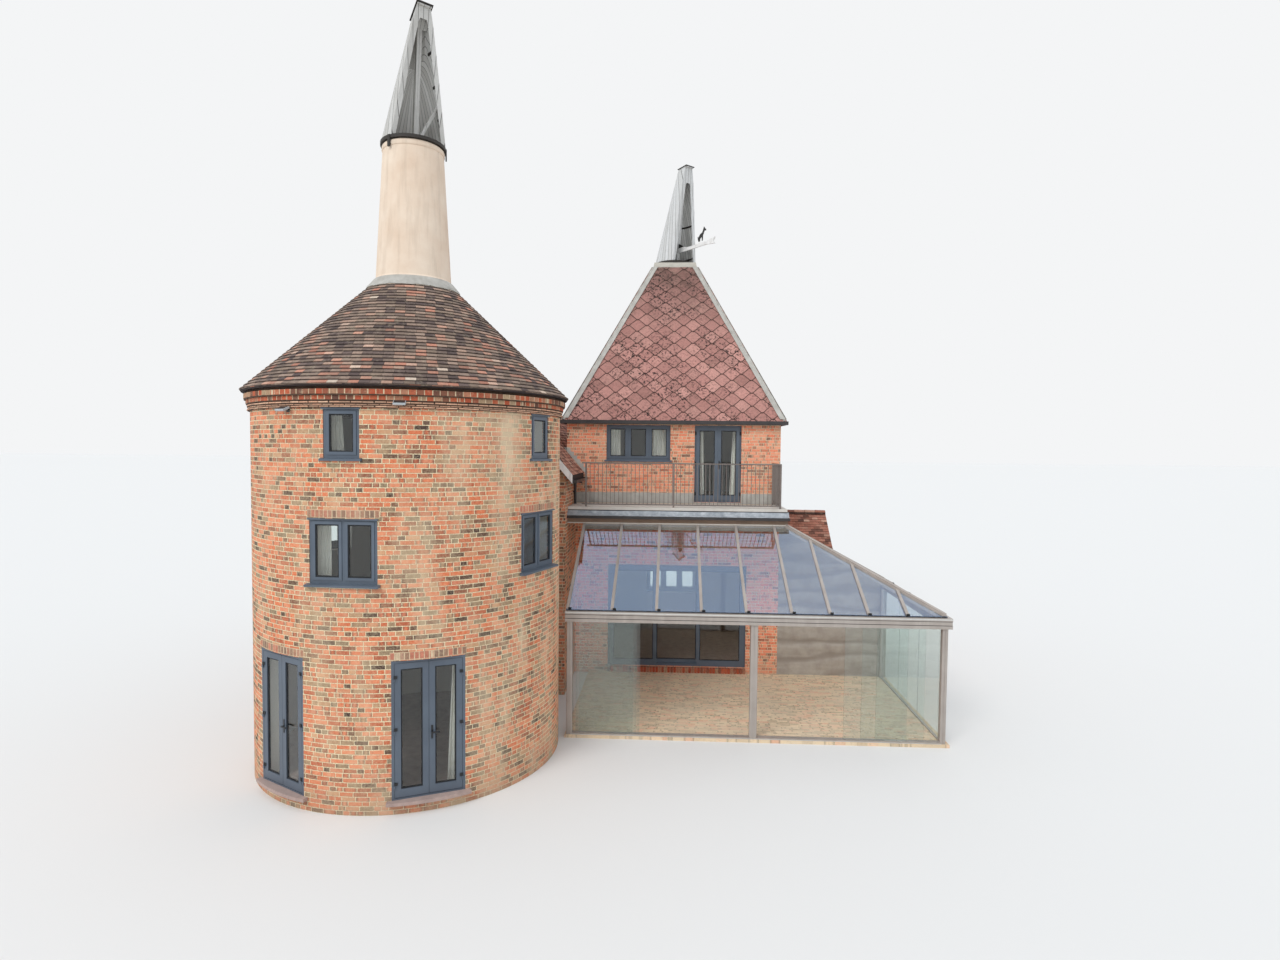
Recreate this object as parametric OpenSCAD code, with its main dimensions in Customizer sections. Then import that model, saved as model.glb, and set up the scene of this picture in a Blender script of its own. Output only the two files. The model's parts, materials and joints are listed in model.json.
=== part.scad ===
/* [Roundel] */
// Outer radius of the round kiln's brick wall
roundel_r = 2800; // [2500:10:3100]
// Thickness of every outer brick wall
wall_t = 330; // [300:5:360]
// Height of the round wall's plain brickwork
roundel_wall_h = 6450; // [6400:10:6600]
// Level of the ground floor above the base of the walls
floor_z = 200; // [160:5:240]
// Level of the roundel's first floor
roundel_first_z = 2780; // [2700:10:2900]
// Level of the roundel's second floor
roundel_second_z = 4960; // [4900:10:5100]
// Thickness of the boarded upper floors
floor_t = 180; // [150:5:220]
// Bearing of the left French doors, from +X towards +Y
left_door_angle = -119.5; // [-125:0.5:-115]
// Bearing of the right French doors
right_door_angle = -65.6; // [-70:0.1:-60]
// Bearing of the front windows
front_window_angle = -93; // [-96:0.5:-90]
// Bearing of the side windows
side_window_angle = -19.5; // [-24:0.5:-15]
// Bearing of the rear windows
rear_window_angle = 155; // [150:1:160]

/* [Roundel openings] */
// Width of a French door opening
door_w = 1150; // [1100:10:1250]
// Head of the French door openings
door_head = 2470; // [2400:10:2550]
// Width of a middle window
mid_window_w = 1120; // [1000:10:1200]
// Sill of the middle windows
mid_sill = 3640; // [3600:10:3700]
// Height of the middle windows
mid_window_h = 1080; // [1000:10:1150]
// Width of a top window
top_window_w = 590; // [500:10:700]
// Height of the top windows, whose head is the cornice
top_window_h = 830; // [750:10:880]

/* [Roundel roof] */
// Height of the corbelled cornice
cornice_h = 330; // [280:5:360]
// How far the cornice stands out at its top
cornice_out = 95; // [70:5:110]
// How far the tiles reach past the round wall
roundel_over = 140; // [110:5:160]
// Thickness of the tiled roofs
roof_t = 130; // [100:5:160]
// Rise of the tiled cone from its edge to the stack's collar
roundel_roof_rise = 1970; // [1900:10:2100]
// Outer radius of the rendered stack at its foot
stack_r = 705; // [660:5:740]
// Outer radius of the stack at its rim
stack_top_r = 555; // [520:5:580]
// Wall thickness of the stack
stack_t = 110; // [80:5:130]
// Height of the stack from the tiles to its rim
stack_h = 2710; // [2600:10:3000]
// Height of the cement collar round the stack's foot
collar_h = 190; // [150:5:240]
// How far the collar reaches out over the tiles
collar_w = 140; // [100:5:180]

/* [Cowls] */
// Radius of a cowl's base ring
cowl_r = 600; // [580:5:640]
// Height of the roundel's cowl
roundel_cowl_h = 2420; // [2200:10:2700]
// Height of the square kiln's cowl
kiln_cowl_h = 2720; // [2500:10:2900]
// Bearing towards which the cowls' open sides face
cowl_bearing = -50; // [-60:1:-40]
// Half the angle that the roundel cowl's open side takes from its base
roundel_open_half = 63; // [56:1:66]
// Half the angle that the kiln cowl's open side takes from its base
kiln_open_half = 48; // [40:1:55]
// How far the roundel cowl's crown falls towards the back
roundel_crown_drop = 170; // [100:5:200]
// How far the kiln cowl's crown falls towards the back
kiln_crown_drop = 20; // [0:5:60]
// How far a cowl's crown leads its spindle at the front
crown_front = 600; // [560:5:620]
// Length of the crown, front to back
crown_len = 340; // [300:5:380]
// Width of the crown
crown_w = 260; // [220:5:300]
// Thickness of the cowls' boards
board_t = 24; // [20:1:32]
// Diameter of the cowl's spindle
spindle_d = 60; // [50:2:80]
// Length of the weather vane's arm from the spindle
vane_len = 1690; // [1500:10:1800]

/* [Square kiln] */
// How far the kiln's left wall stands inside the stowage's right face
kiln_lap = 235; // [220:5:245]
// Distance from the stowage's front to the kiln's front
kiln_set = 1800; // [1700:10:1900]
// Outside width and depth of the square kiln
kiln_w = 5500; // [5460:10:5540]
// Height of the kiln's walls
kiln_wall_h = 6500; // [6480:10:6600]
// Height of the kiln's upper room, from its floor to the top of the walls
kiln_upper_h = 2000; // [1970:5:2020]
// How far the pyramid roof reaches past the walls
kiln_over = 90; // [70:5:110]
// Height of the pyramid roof's upright edge
kiln_edge_h = 100; // [80:5:120]
// Rise of the pyramid roof from its edge to the curb that carries the cowl
kiln_roof_rise = 4430; // [4300:10:4600]
// Half the width of the curb at its foot
curb_half = 620; // [600:5:660]
// Height of the curb
curb_h = 150; // [120:5:180]

/* [Square kiln openings] */
// Width of the sliding door's opening
slider_w = 3590; // [3500:10:3700]
// Distance from the kiln's left face to the sliding door's opening
slider_set = 1095; // [1050:5:1200]
// Head of the sliding door's opening
slider_head = 2850; // [2700:10:2950]
// Distance from the kiln's left face to the upper window
upper_window_set = 1025; // [990:5:1090]
// Width of the upper window
upper_window_w = 1655; // [1600:5:1700]
// Height of the upper windows
upper_window_h = 950; // [900:5:1000]
// Distance from the kiln's left face to the upper doors
upper_door_set = 3305; // [3250:5:3400]
// Width of the upper doors
upper_door_w = 1200; // [1150:5:1250]
// Sill of the ground-floor windows at the back and the side
rear_sill = 1100; // [900:10:1200]
// Height of the ground-floor windows at the back and the side
rear_window_h = 1200; // [1100:10:1300]

/* [Balcony] */
// Depth of the balcony's deck in front of the kiln
deck_depth = 1400; // [1350:5:1450]
// Step from the deck up to the kiln's first floor
deck_step = 50; // [30:5:80]
// Thickness of the balcony's flat roof
deck_t = 375; // [350:5:400]
// How far the deck ends short of the kiln's right face
deck_short = 20; // [10:5:40]
// Thickness of the timber fascia in front of the deck
fascia_t = 100; // [80:5:120]
// Height of the railing above the deck
rail_h = 1080; // [1000:5:1150]
// Spacing of the railing's bars
rail_pitch = 100; // [90:1:115]
// Distance from the kiln's left face to the railing's middle post
rail_post_set = 2775; // [2700:5:2850]

/* [Veranda] */
// Gap between the round wall and the glass roof's left edge
veranda_gap = 118; // [100:2:140]
// Depth of the veranda in front of the kiln
veranda_depth = 4208; // [4100:2:4300]
// Underside of the front beam
beam_z = 2370; // [2300:5:2400]
// Height of the beams
beam_h = 210; // [180:5:230]
// Depth of the beams, front to back
beam_d = 190; // [160:5:220]
// Spacing of the glazing bars over the wide part
bar_pitch = 900; // [880:5:920]
// Width of a glazing bar
bar_w = 60; // [50:2:70]
// Width of the corner posts
post_w = 115; // [100:5:130]
// Width of the middle post
mid_post_w = 150; // [130:5:170]
// Distance from the glass roof's left edge to the middle post
mid_post_set = 3760; // [3700:5:3850]
// Thickness of the sliding glass sheets
pane_t = 12; // [10:1:16]
// Thickness of the veranda's paved floor
paving_t = 60; // [50:5:80]

/* [Stowage and wing] */
// How far the stowage's right face stands inside the round wall's right edge
link_inset = 300; // [280:5:320]
// Length of the brick neck between the round wall and the stowage
neck_len = 200; // [150:10:260]
// Width of the stowage
link_w = 3600; // [3400:20:3800]
// How far the stowage's eaves lie below the top of the kiln's walls
link_eaves_drop = 1250; // [1150:10:1350]
// Pitch of the stowage roof
link_pitch = 49.6; // [45:0.2:50]
// How far roofs reach past the walls below
eaves_over = 200; // [150:5:240]
// Length of the low wing beside the square kiln
wing_len = 1750; // [1600:10:1900]
// How far the wing's back stands inside the kiln's back
wing_back_set = 200; // [100:10:300]
// Depth of the wing
wing_w = 3600; // [3400:10:3700]
// Height of the wing's walls
wing_wall_h = 2320; // [2250:10:2450]
// Pitch of the wing's roof
wing_pitch = 39.8; // [36:0.2:42]

/* [Hidden] */
$fn = 180;

// Colours
brick_red = "#b0614a";
kiln_red = "#c4674a";
tile_brown = "#6e4f45";
tile_pink = "#a06a60";
render_cream = "#dcc3a4";
anthracite = "#4a525c";
glass_blue = "#9fb6c4";
board_grey = "#b9b7b0";
stone_pale = "#c9bfae";
champagne = "#9a918b";
lead_grey = "#8d93a0";
timber_brown = "#6a5348";
rail_brown = "#57504c";
paver_red = "#b07f66";
floor_wood = "#a98e6c";
white_paint = "#e6e4dd";
gutter_black = "#2c2c30";

// Small shared clearances and depths
cut = 20;
gap = 5;
pin_gap = 1;
seat = 0.5;
frame_d = 70;
frame_b = 50;
sash_b = 48;
sash_proud = 12;
glass_t = 24;
glass_back = 30;
drip_h = 46;
drip_fall = 14;
drip_out = 40;
drip_over = 45;
head_h = 24;
head_out = 28;
head_over = 18;

// Bearings at which the round wall is split
ground_split_right = 20;
ground_split_left = 125;
upper_split_right = -52;
upper_split_back = 60;
upper_split_left = 223;
split_gap = 0.005;
left_bearing = left_door_angle + 360;

// Levels and slopes of the roundel's roof
eaves_r = roundel_r + roundel_over;
roundel_top = roundel_wall_h + cornice_h;
tile_edge = 40;
top_sill = roundel_wall_h - top_window_h;
mid_head = mid_sill + mid_window_h;
roundel_roof_top = roundel_top + tile_edge + roundel_roof_rise;
stack_top = roundel_roof_top + stack_h;
collar_r = stack_r + collar_w;
roof_slope = roundel_roof_rise / (eaves_r - collar_r);
roof_drop = roof_t / cos(atan(roof_slope));
function roof_z(r) = roundel_top + tile_edge + (eaves_r - r) * roof_slope;
stack_foot = roof_z(stack_r) - roof_drop;
stack_slope = (stack_r - stack_top_r) / (stack_top - roundel_roof_top);
function stack_out(z) = stack_r - max(0, z - roundel_roof_top) * stack_slope;
collar_top = roundel_roof_top + tile_edge + collar_h;

// Places of the roundel's doors, whose faces stand flush with the curve at their edges
door_face = sqrt(pow(roundel_r, 2) - pow(door_w / 2, 2));
door_sill_t = 30;
door_frame_b = 45;
door_frame_d = 90;
door_stop = 15;
leaf_t = 66;
leaf_w = (door_w - 2 * door_frame_b - 3 * gap) / 2;
leaf_foot = floor_z + door_sill_t + 25 + gap;
leaf_h = door_head - door_frame_b - gap - leaf_foot;
leaf_stile = 95;
leaf_rail = 130;
hinge_out = 12;
hinge_r = 9;
hinge_y = door_w / 2 - door_frame_b - gap / 2;
hinge_levels = [leaf_foot + 200, leaf_foot + leaf_h / 2, leaf_foot + leaf_h - 240];
knuckle_h = 50;

// Cowl geometry, with the open side towards local +X
ring_h = 60;
ring_w = 90;
ring_lift = 12;
soffit_h = 330;
edge_w = 68;
edge_t = 45;
cap_over = 25;
cap_t = 14;
beam_drop = 500;
bearing_w = 120;
shoulder_r = 55;
cowl_post_w = 90;
cowl_post_foot = 60;
cowl_post_head = crown_front - crown_len + cowl_post_w;
crown_bar = 2;
strap_drop = 150;
strap_t = 12;
strap_h = 42;
strap_len = 210;
function post_lean(h) = atan2(cowl_post_head - cowl_post_foot, h);
function post_front(z, h) = cowl_post_foot + z * tan(post_lean(h)) + cowl_post_w / 2 / cos(post_lean(h));

// Square kiln
link_right = roundel_r - link_inset;
link_front = roundel_r + neck_len;
kiln_half = kiln_w / 2;
kiln_left = link_right - kiln_lap;
kiln_x = kiln_left + kiln_half;
kiln_right = kiln_left + kiln_w;
kiln_front = link_front + kiln_set;
kiln_first_z = kiln_wall_h - kiln_upper_h;
kiln_back = kiln_front + kiln_w;
kiln_y = kiln_front + kiln_half;
kiln_roof_half = kiln_half + kiln_over;
curb_z = kiln_wall_h + kiln_edge_h + kiln_roof_rise;
kiln_slope = kiln_roof_rise / (kiln_roof_half - curb_half);
kiln_roof_in = roof_t / sin(atan(kiln_slope));
curb_t = 110;
curb_draw = 30;
window_head = kiln_wall_h - 20;
upper_window_sill = window_head - upper_window_h;
upper_window_x = kiln_left + upper_window_set;
upper_door_x = kiln_left + upper_door_set;
upper_stile = 80;
upper_rail = 130;
upper_leaf_w = upper_door_w / 2 - frame_b - 1;
slider_x = kiln_left + slider_set;
frame_set = 60;
slider_frame_b = 60;
slider_depth = 150;
slider_stile = 90;
slider_t = 50;
slider_clear = 15;
slider_inner = slider_w - 2 * slider_frame_b;
slider_leaf_w = (slider_inner + 2 * slider_stile) / 3;
slider_foot = floor_z + slider_frame_b + gap;
slider_leaf_h = slider_head - slider_frame_b - gap - slider_foot;

// Balcony
deck_z = kiln_first_z - deck_step;
deck_front = kiln_front - deck_depth;
deck_right = kiln_right - deck_short;
ledger_y = deck_front - fascia_t;
apron_top = deck_z - 95;
apron_foot = deck_z - 190;
apron_out = 60;
apron_t = 14;
deck_gutter_w = 90;
deck_gutter_h = 58;
pipe_r = 34;
pipe_off = 20;
pipe_set = 500;

// Veranda: its right slope meets the front one on a hip that ends at the kiln's corner
hip_inset = 23;
ledger_drop = 30;
veranda_left = roundel_r + veranda_gap;
veranda_front = kiln_front - veranda_depth;
hip_x = kiln_right - hip_inset;
veranda_right = hip_x + ledger_y - veranda_front;
mid_post_x = veranda_left + mid_post_set;
glass_low_z = beam_z + beam_h + 20;
glass_high_z = deck_z - deck_t - ledger_drop;
glass_rise = atan((glass_high_z - glass_low_z) / (ledger_y - veranda_front));
roof_glass_t = 10;
rafter_h = 70;
cap_h = 25;
hip_cap_h = 50;
post_x_left = veranda_left + 48;
post_x_right = veranda_right - 30;
narrow_pitch = (veranda_right - veranda_left - 5 * bar_pitch) / 4;
bar_x = [for (i = [0:5]) veranda_left + i * bar_pitch];
hip_bar_x = [for (i = [1:3]) veranda_left + 5 * bar_pitch + i * narrow_pitch];
track_h = 30;
track_w = 124;
track_step = 36;
// Levels of the beam's mouldings as shares of its height, and how far each is drawn in
beam_levels = [0, 0.3, 0.35, 0.68, 0.73, 1];
beam_insets = [0, 9, 4, 9, 0];
post_corner = 15;
post_groove_w = 12;
post_groove_d = 9;
pane_z = paving_t + track_h + gap;
pane_h = beam_z - gap - 3 - pane_z;
left_bay_x = post_x_left + post_w / 2;
left_bay_w = mid_post_x - mid_post_w / 2 - left_bay_x;
right_bay_x = mid_post_x + mid_post_w / 2;
right_bay_w = post_x_right - post_w / 2 - right_bay_x;
pane_lap = 60;
left_pane_w = (left_bay_w + 2 * pane_lap) / 3;
right_pane_w = (right_bay_w + 2 * pane_lap) / 3;

// Stowage and wing
verge = 250;
link_eaves = kiln_wall_h - link_eaves_drop;
link_left = link_right - link_w;
link_ridge_x = link_right - link_w / 2;
link_back = kiln_back;
link_drop = roof_t / cos(link_pitch);
function link_z(x) = link_eaves + (link_w / 2 + eaves_over - abs(x - link_ridge_x)) * tan(link_pitch);
neck_half = 900;
neck_h = link_eaves - 350;
wing_back = kiln_back - wing_back_set;
wing_front = wing_back - wing_w;
wing_right = kiln_right + wing_len;
wing_ridge_y = wing_front + wing_w / 2;
wing_drop = roof_t / cos(wing_pitch);
wing_eaves = wing_wall_h - (eaves_over * tan(wing_pitch)) + wing_drop;
function wing_z(y) = wing_eaves + (wing_w / 2 + eaves_over - abs(y - wing_ridge_y)) * tan(wing_pitch);
wing_verge = 150;

rear_head = rear_sill + rear_window_h;
link_window_y = (link_front + link_back) / 2 - 350;
link_window_head = link_eaves - 530;
wing_window_head = wing_wall_h - 260;
wing_window_h = 1050;
// Windows in the straight walls: x, y, bearing, width, sill, head and lights
house_windows = [
    [upper_window_x + upper_window_w / 2, kiln_front, 0, upper_window_w, upper_window_sill, window_head, 3],
    [kiln_right, kiln_y, 90, mid_window_w, upper_window_sill, window_head, 2],
    [kiln_x, kiln_back, 180, upper_window_w, upper_window_sill, window_head, 3],
    [kiln_x, kiln_back, 180, upper_window_w, rear_sill, rear_head, 3],
    [link_left, link_window_y, -90, mid_window_w, link_window_head - mid_window_h, link_window_head, 2],
    [link_left, link_window_y, -90, mid_window_w, rear_sill, rear_head, 2],
    [wing_right, wing_ridge_y, 90, mid_window_w, wing_window_head - wing_window_h, wing_window_head, 2]
];

// Windows of the roundel: bearing, width, sill, head and lights
roundel_windows = [
    [front_window_angle, mid_window_w, mid_sill, mid_head, 2],
    [side_window_angle, mid_window_w, mid_sill, mid_head, 2],
    [rear_window_angle, mid_window_w, mid_sill, mid_head, 2],
    [front_window_angle, top_window_w, top_sill, roundel_wall_h, 1],
    [side_window_angle, top_window_w, top_sill, roundel_wall_h, 1],
    [rear_window_angle, top_window_w, top_sill, roundel_wall_h, 1]
];

// A box between two corners
module block(a, b) {
    translate(a) cube(b - a);
}

// A ring or part of a ring round the z axis
module ring(r_in, r_out, z0, z1, a0 = 0, a1 = 360) {
    rotate([0, 0, a0])
        rotate_extrude(angle = a1 - a0)
            translate([r_in, z0]) square([r_out - r_in, z1 - z0]);
}

// A hole through the round wall at one bearing
module round_hole(bearing, w, z0, z1) {
    rotate([0, 0, bearing])
        block([roundel_r - wall_t - 300, -w / 2, z0], [roundel_r + 300, w / 2, z1]);
}

module door_holes() {
    for (a = [left_door_angle, right_door_angle]) round_hole(a, door_w, floor_z, door_head + cut);
}

module round_windows_cut() {
    for (w = roundel_windows)
        round_hole(w[0], w[1], w[2], w[3] + (w[3] == roundel_wall_h ? cut : 0));
}

module ground_segment(a0, a1) {
    difference() {
        ring(roundel_r - wall_t, roundel_r, 0, door_head, a0 + split_gap, a1 - split_gap);
        door_holes();
    }
}

module upper_segment(a0, a1) {
    difference() {
        ring(roundel_r - wall_t, roundel_r, door_head + seat, roundel_wall_h,
            a0 + split_gap, a1 - split_gap);
        round_windows_cut();
    }
}

module roundel_wall_front() {
    color(brick_red) ground_segment(left_door_angle, right_door_angle);
}

module roundel_wall_right() {
    color(brick_red) ground_segment(right_door_angle, ground_split_right);
}

module roundel_wall_back() {
    color(brick_red) ground_segment(ground_split_right, ground_split_left);
}

module roundel_wall_left() {
    color(brick_red) ground_segment(ground_split_left, left_bearing);
}

module roundel_upper_wall_front() {
    color(brick_red) upper_segment(upper_split_left - 360, upper_split_right);
}

module roundel_upper_wall_right() {
    color(brick_red) upper_segment(upper_split_right, upper_split_back);
}

module roundel_upper_wall_back() {
    color(brick_red) upper_segment(upper_split_back, upper_split_left);
}

// The cornice corbels out: thin creasing courses, two bold ones between recesses, the tiles' bed
module roundel_cornice() {
    levels = [0, 0.09, 0.18, 0.28, 0.32, 0.52, 0.57, 0.77, 1];
    outs = [0.42, 0.3, 0.46, 0.05, 0.62, 0.2, 1, 0.45];
    foot = roundel_wall_h + seat;
    height = cornice_h - seat;
    face = [for (i = [0:7]) for (k = [i, i + 1])
        [roundel_r + cornice_out * outs[i], foot + height * levels[k]]];
    color(brick_red)
        rotate_extrude()
            polygon(concat(face, [[roundel_r - wall_t, foot + height], [roundel_r - wall_t, foot]]));
}

module roundel_roof() {
    color(tile_brown)
        rotate_extrude()
            polygon([
                [stack_r + seat, roof_z(stack_r + seat)],
                [eaves_r, roundel_top + tile_edge],
                [eaves_r, roundel_top],
                [eaves_r - (roof_drop - tile_edge) / roof_slope, roundel_top],
                [stack_r + seat, roof_z(stack_r + seat) - roof_drop]
            ]);
}

module roundel_stack() {
    color(render_cream)
        rotate_extrude()
            polygon([
                [stack_r - stack_t, stack_foot],
                [stack_r, stack_foot],
                [stack_r, roof_z(stack_r) + 2 * seat],
                [collar_r, roundel_roof_top + 2 * seat],
                [collar_r, roundel_roof_top + tile_edge],
                [stack_out(collar_top), collar_top],
                [stack_top_r, stack_top],
                [stack_top_r - stack_t, stack_top],
                [stack_r - stack_t, roundel_roof_top]
            ]);
}

// A framed window or leaf in the x-z plane, with its face at y = 0
module framed(w, h, lights, border, mullion, depth) {
    light_w = (w - 2 * border - (lights - 1) * mullion) / lights;
    difference() {
        block([0, 0, 0], [w, depth, h]);
        for (i = [0:lights - 1])
            translate([border + i * (light_w + mullion), -cut, border])
                cube([light_w, depth + 2 * cut, h - 2 * border]);
    }
}

// One window on its sill: a frame with a proud sash round each light
module window(w, h, lights) {
    light_w = (w - 2 * frame_b - (lights - 1) * frame_b) / lights;
    translate([0, 0, drip_h]) framed(w, h - drip_h, lights, frame_b, frame_b, frame_d);
    for (i = [0:lights - 1])
        translate([frame_b + i * (light_w + frame_b), -sash_proud, drip_h + frame_b])
            framed(light_w, h - drip_h - 2 * frame_b, 1, sash_b, 0, frame_d);
}

module window_panes(w, h, lights) {
    light_w = (w - 2 * frame_b - (lights - 1) * frame_b) / lights;
    border = frame_b + sash_b;
    for (i = [0:lights - 1])
        translate([border + i * (light_w + frame_b), glass_back - glass_t, drip_h + border])
            cube([light_w - 2 * sash_b, glass_t, h - drip_h - 2 * border]);
}

// A strip that stands out before a window whose wall's face lies set in front of the frame
module proud_strip(w, set, out, over, h, fall) {
    translate([-over, 0, 0])
        rotate([90, 0, 90])
            linear_extrude(w + 2 * over)
                polygon([[-out, 0], [-out, h - fall], [-set - seat, h], [-set - seat, 0]]);
}

// The weathered sill fills the foot of the opening and throws the rain off the wall
module sill_strip(w, set, out) {
    block([0, -set - 2 * seat, 0], [w, frame_d, drip_h]);
    proud_strip(w, set, out, drip_over, drip_h, drip_fall);
}

// A drip over the head of a window in the round wall
module head_strip(w, h) {
    translate([0, 0, h - head_h - seat]) {
        block([0, -sash_proud - 2 * seat, 0], [w, 1, head_h]);
        proud_strip(w, sash_proud, sash_proud + head_out, head_over, head_h, 0);
    }
}

// Places a window of the roundel with its corners on the curve
module at_roundel_window(win) {
    rotate([0, 0, win[0] + 90])
        translate([-win[1] / 2, -sqrt(pow(roundel_r, 2) - pow(win[1] / 2, 2)) + sash_proud, win[2]])
            children();
}

// How far the round wall bulges in front of a window's corners
function bulge(w) = roundel_r - sqrt(pow(roundel_r, 2) - pow(w / 2, 2));

module roundel_window_frames() {
    color(anthracite)
        for (win = roundel_windows)
            at_roundel_window(win) {
                window(win[1], win[3] - win[2], win[4]);
                sill_strip(win[1], sash_proud, sash_proud + bulge(win[1]) + drip_out);
                head_strip(win[1], win[3] - win[2]);
            }
}

module roundel_window_glass() {
    color(glass_blue)
        for (win = roundel_windows)
            at_roundel_window(win) window_panes(win[1], win[3] - win[2], win[4]);
}

// Places a door set with local +X out of the wall and the opening's centre on y = 0
module at_door(bearing) {
    rotate([0, 0, bearing]) translate([door_face, 0, 0]) children();
}

module door_frame() {
    foot = floor_z + door_sill_t - 5;
    difference() {
        block([-door_frame_d, -door_w / 2, foot], [0, door_w / 2, door_head]);
        block([-leaf_t - gap, -door_w / 2 + door_frame_b, foot + 25],
            [cut, door_w / 2 - door_frame_b, door_head - door_frame_b]);
        block([-door_frame_d - cut, -door_w / 2 + door_frame_b + door_stop, foot + 25],
            [cut, door_w / 2 - door_frame_b - door_stop, door_head - door_frame_b - door_stop]);
    }
    for (side = [-1, 1])
        for (z = hinge_levels) {
            translate([hinge_out, side * hinge_y, z - knuckle_h - pin_gap])
                cylinder(r = hinge_r, h = knuckle_h, $fn = 48);
            translate([0, side * (hinge_y + 20) - 20, z - knuckle_h - pin_gap])
                cube([hinge_out, 40, knuckle_h]);
        }
}

module roundel_door_frames() {
    color(anthracite)
        for (a = [left_door_angle, right_door_angle]) at_door(a) door_frame();
}

// One leaf, hung at positive y when side is 1 and at negative y when it is -1
module leaf(side, handle) {
    mirror([0, side > 0 ? 0 : 1, 0]) {
        translate([0, gap / 2, 0])
            difference() {
                block([-leaf_t, 0, leaf_foot], [0, leaf_w, leaf_foot + leaf_h]);
                block([-leaf_t - cut, leaf_stile, leaf_foot + leaf_rail],
                    [cut, leaf_w - leaf_stile, leaf_foot + leaf_h - leaf_stile]);
            }
        for (z = hinge_levels) {
            translate([hinge_out, hinge_y, z]) cylinder(r = hinge_r, h = knuckle_h, $fn = 48);
            translate([-1, hinge_y - 45, z]) cube([hinge_out + 1, 45, knuckle_h]);
        }
        if (handle) lever();
    }
}

// A lever handle on the meeting stile
module lever() {
    z = leaf_foot + 1000;
    block([-1, leaf_stile / 2 - 15, z - 110], [8, leaf_stile / 2 + 15, z + 110]);
    translate([0, leaf_stile / 2, z]) rotate([0, 90, 0]) cylinder(r = 9, h = 50, $fn = 32);
    block([38, leaf_stile / 2 - 13, z - 12], [54, leaf_stile / 2 + 120, z + 12]);
}

module leaf_glass(side) {
    mirror([0, side > 0 ? 0 : 1, 0])
        translate([0, gap / 2, 0])
            block([-leaf_t / 2 - glass_t / 2, leaf_stile, leaf_foot + leaf_rail],
                [-leaf_t / 2 + glass_t / 2, leaf_w - leaf_stile, leaf_foot + leaf_h - leaf_stile]);
}

module left_door_leaf_a() {
    color(anthracite) at_door(left_door_angle) leaf(-1, false);
}

module left_door_leaf_b() {
    color(anthracite) at_door(left_door_angle) leaf(1, true);
}

module right_door_leaf_a() {
    color(anthracite) at_door(right_door_angle) leaf(-1, false);
}

module right_door_leaf_b() {
    color(anthracite) at_door(right_door_angle) leaf(1, true);
}

module left_door_glass_a() {
    color(glass_blue) at_door(left_door_angle) leaf_glass(-1);
}

module left_door_glass_b() {
    color(glass_blue) at_door(left_door_angle) leaf_glass(1);
}

module right_door_glass_a() {
    color(glass_blue) at_door(right_door_angle) leaf_glass(-1);
}

module right_door_glass_b() {
    color(glass_blue) at_door(right_door_angle) leaf_glass(1);
}

// Stone thresholds that follow the curve, under the French doors
module roundel_sills() {
    lip = 90;
    lip_angle = asin(door_w / 2 / roundel_r) + 1.5;
    color(stone_pale)
        for (a = [left_door_angle, right_door_angle]) {
            intersection() {
                rotate([0, 0, a])
                    block([roundel_r - wall_t, -door_w / 2, floor_z],
                        [roundel_r + lip, door_w / 2, floor_z + door_sill_t - 5]);
                cylinder(r = roundel_r + lip / 2, h = door_head);
            }
            ring(roundel_r + seat, roundel_r + lip, floor_z - 30, floor_z + door_sill_t - 5,
                a - lip_angle, a + lip_angle);
        }
}

// The space inside the stack
module stack_bore() {
    rotate_extrude()
        polygon([
            [0, stack_foot],
            [stack_r - stack_t - seat, stack_foot],
            [stack_r - stack_t - seat, roundel_roof_top],
            [stack_top_r - stack_t - seat, stack_top],
            [0, stack_top]
        ]);
}

// What carries the cowls: a beam across the stack, and the square kiln's curb with its own beam
module cowl_bearings() {
    beam_top = stack_top - beam_drop;
    inner = curb_half - curb_t;
    color(timber_brown) {
        difference() {
            intersection() {
                stack_bore();
                rotate([0, 0, cowl_bearing + 90])
                    block([-stack_r, -bearing_w / 2, beam_top - bearing_w],
                        [stack_r, bearing_w / 2, beam_top]);
            }
            translate([0, 0, beam_top - bearing_w - cut])
                cylinder(d = spindle_d + 2 * pin_gap, h = bearing_w + 2 * cut);
        }
        translate([kiln_x, kiln_y, curb_z])
            difference() {
                linear_extrude(curb_h, scale = 1 - curb_draw / curb_half)
                    square(2 * curb_half, center = true);
                block([-inner, bearing_w / 2, -cut], [inner, inner, curb_h + cut]);
                block([-inner, -inner, -cut], [inner, -bearing_w / 2, curb_h + cut]);
                translate([0, 0, -cut]) cylinder(d = spindle_d + 2 * pin_gap, h = curb_h + 2 * cut);
            }
    }
}

// A cowl's outline, drawn in by an inset on every side but the open base
module cowl_form(h, fall, inset) {
    hull() {
        cylinder(r = cowl_r - inset, h = 1, $fn = 32);
        translate([crown_front - inset - crown_bar, -crown_w / 2 + inset, h - inset - crown_bar])
            cube([crown_bar, crown_w - 2 * inset, crown_bar]);
        translate([crown_front - crown_len + inset, -crown_w / 2 + inset, h - fall - inset - crown_bar])
            cube([crown_bar, crown_w - 2 * inset, crown_bar]);
    }
}

// The shell of a cowl between two insets
module cowl_shell(h, fall, outer, inner) {
    difference() {
        cowl_form(h, fall, outer);
        cowl_form(h, fall, inner);
    }
}

// A profile in the cowl's x-z plane, as wide as the cowl
module across_cowl(w) {
    translate([0, w / 2, 0]) rotate([90, 0, 0]) linear_extrude(w) children();
}

// Everything in front of the line up which a cowl stands open, moved back by a distance
module cowl_mouth(h, half, back) {
    foot = cowl_r * cos(half) - back;
    head = crown_front - board_t - cut - back;
    ahead = crown_front + cowl_r;
    across_cowl(4 * cowl_r)
        polygon([[foot, -cut], [head, h - board_t], [ahead, h - board_t], [ahead, -cut]]);
}

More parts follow.
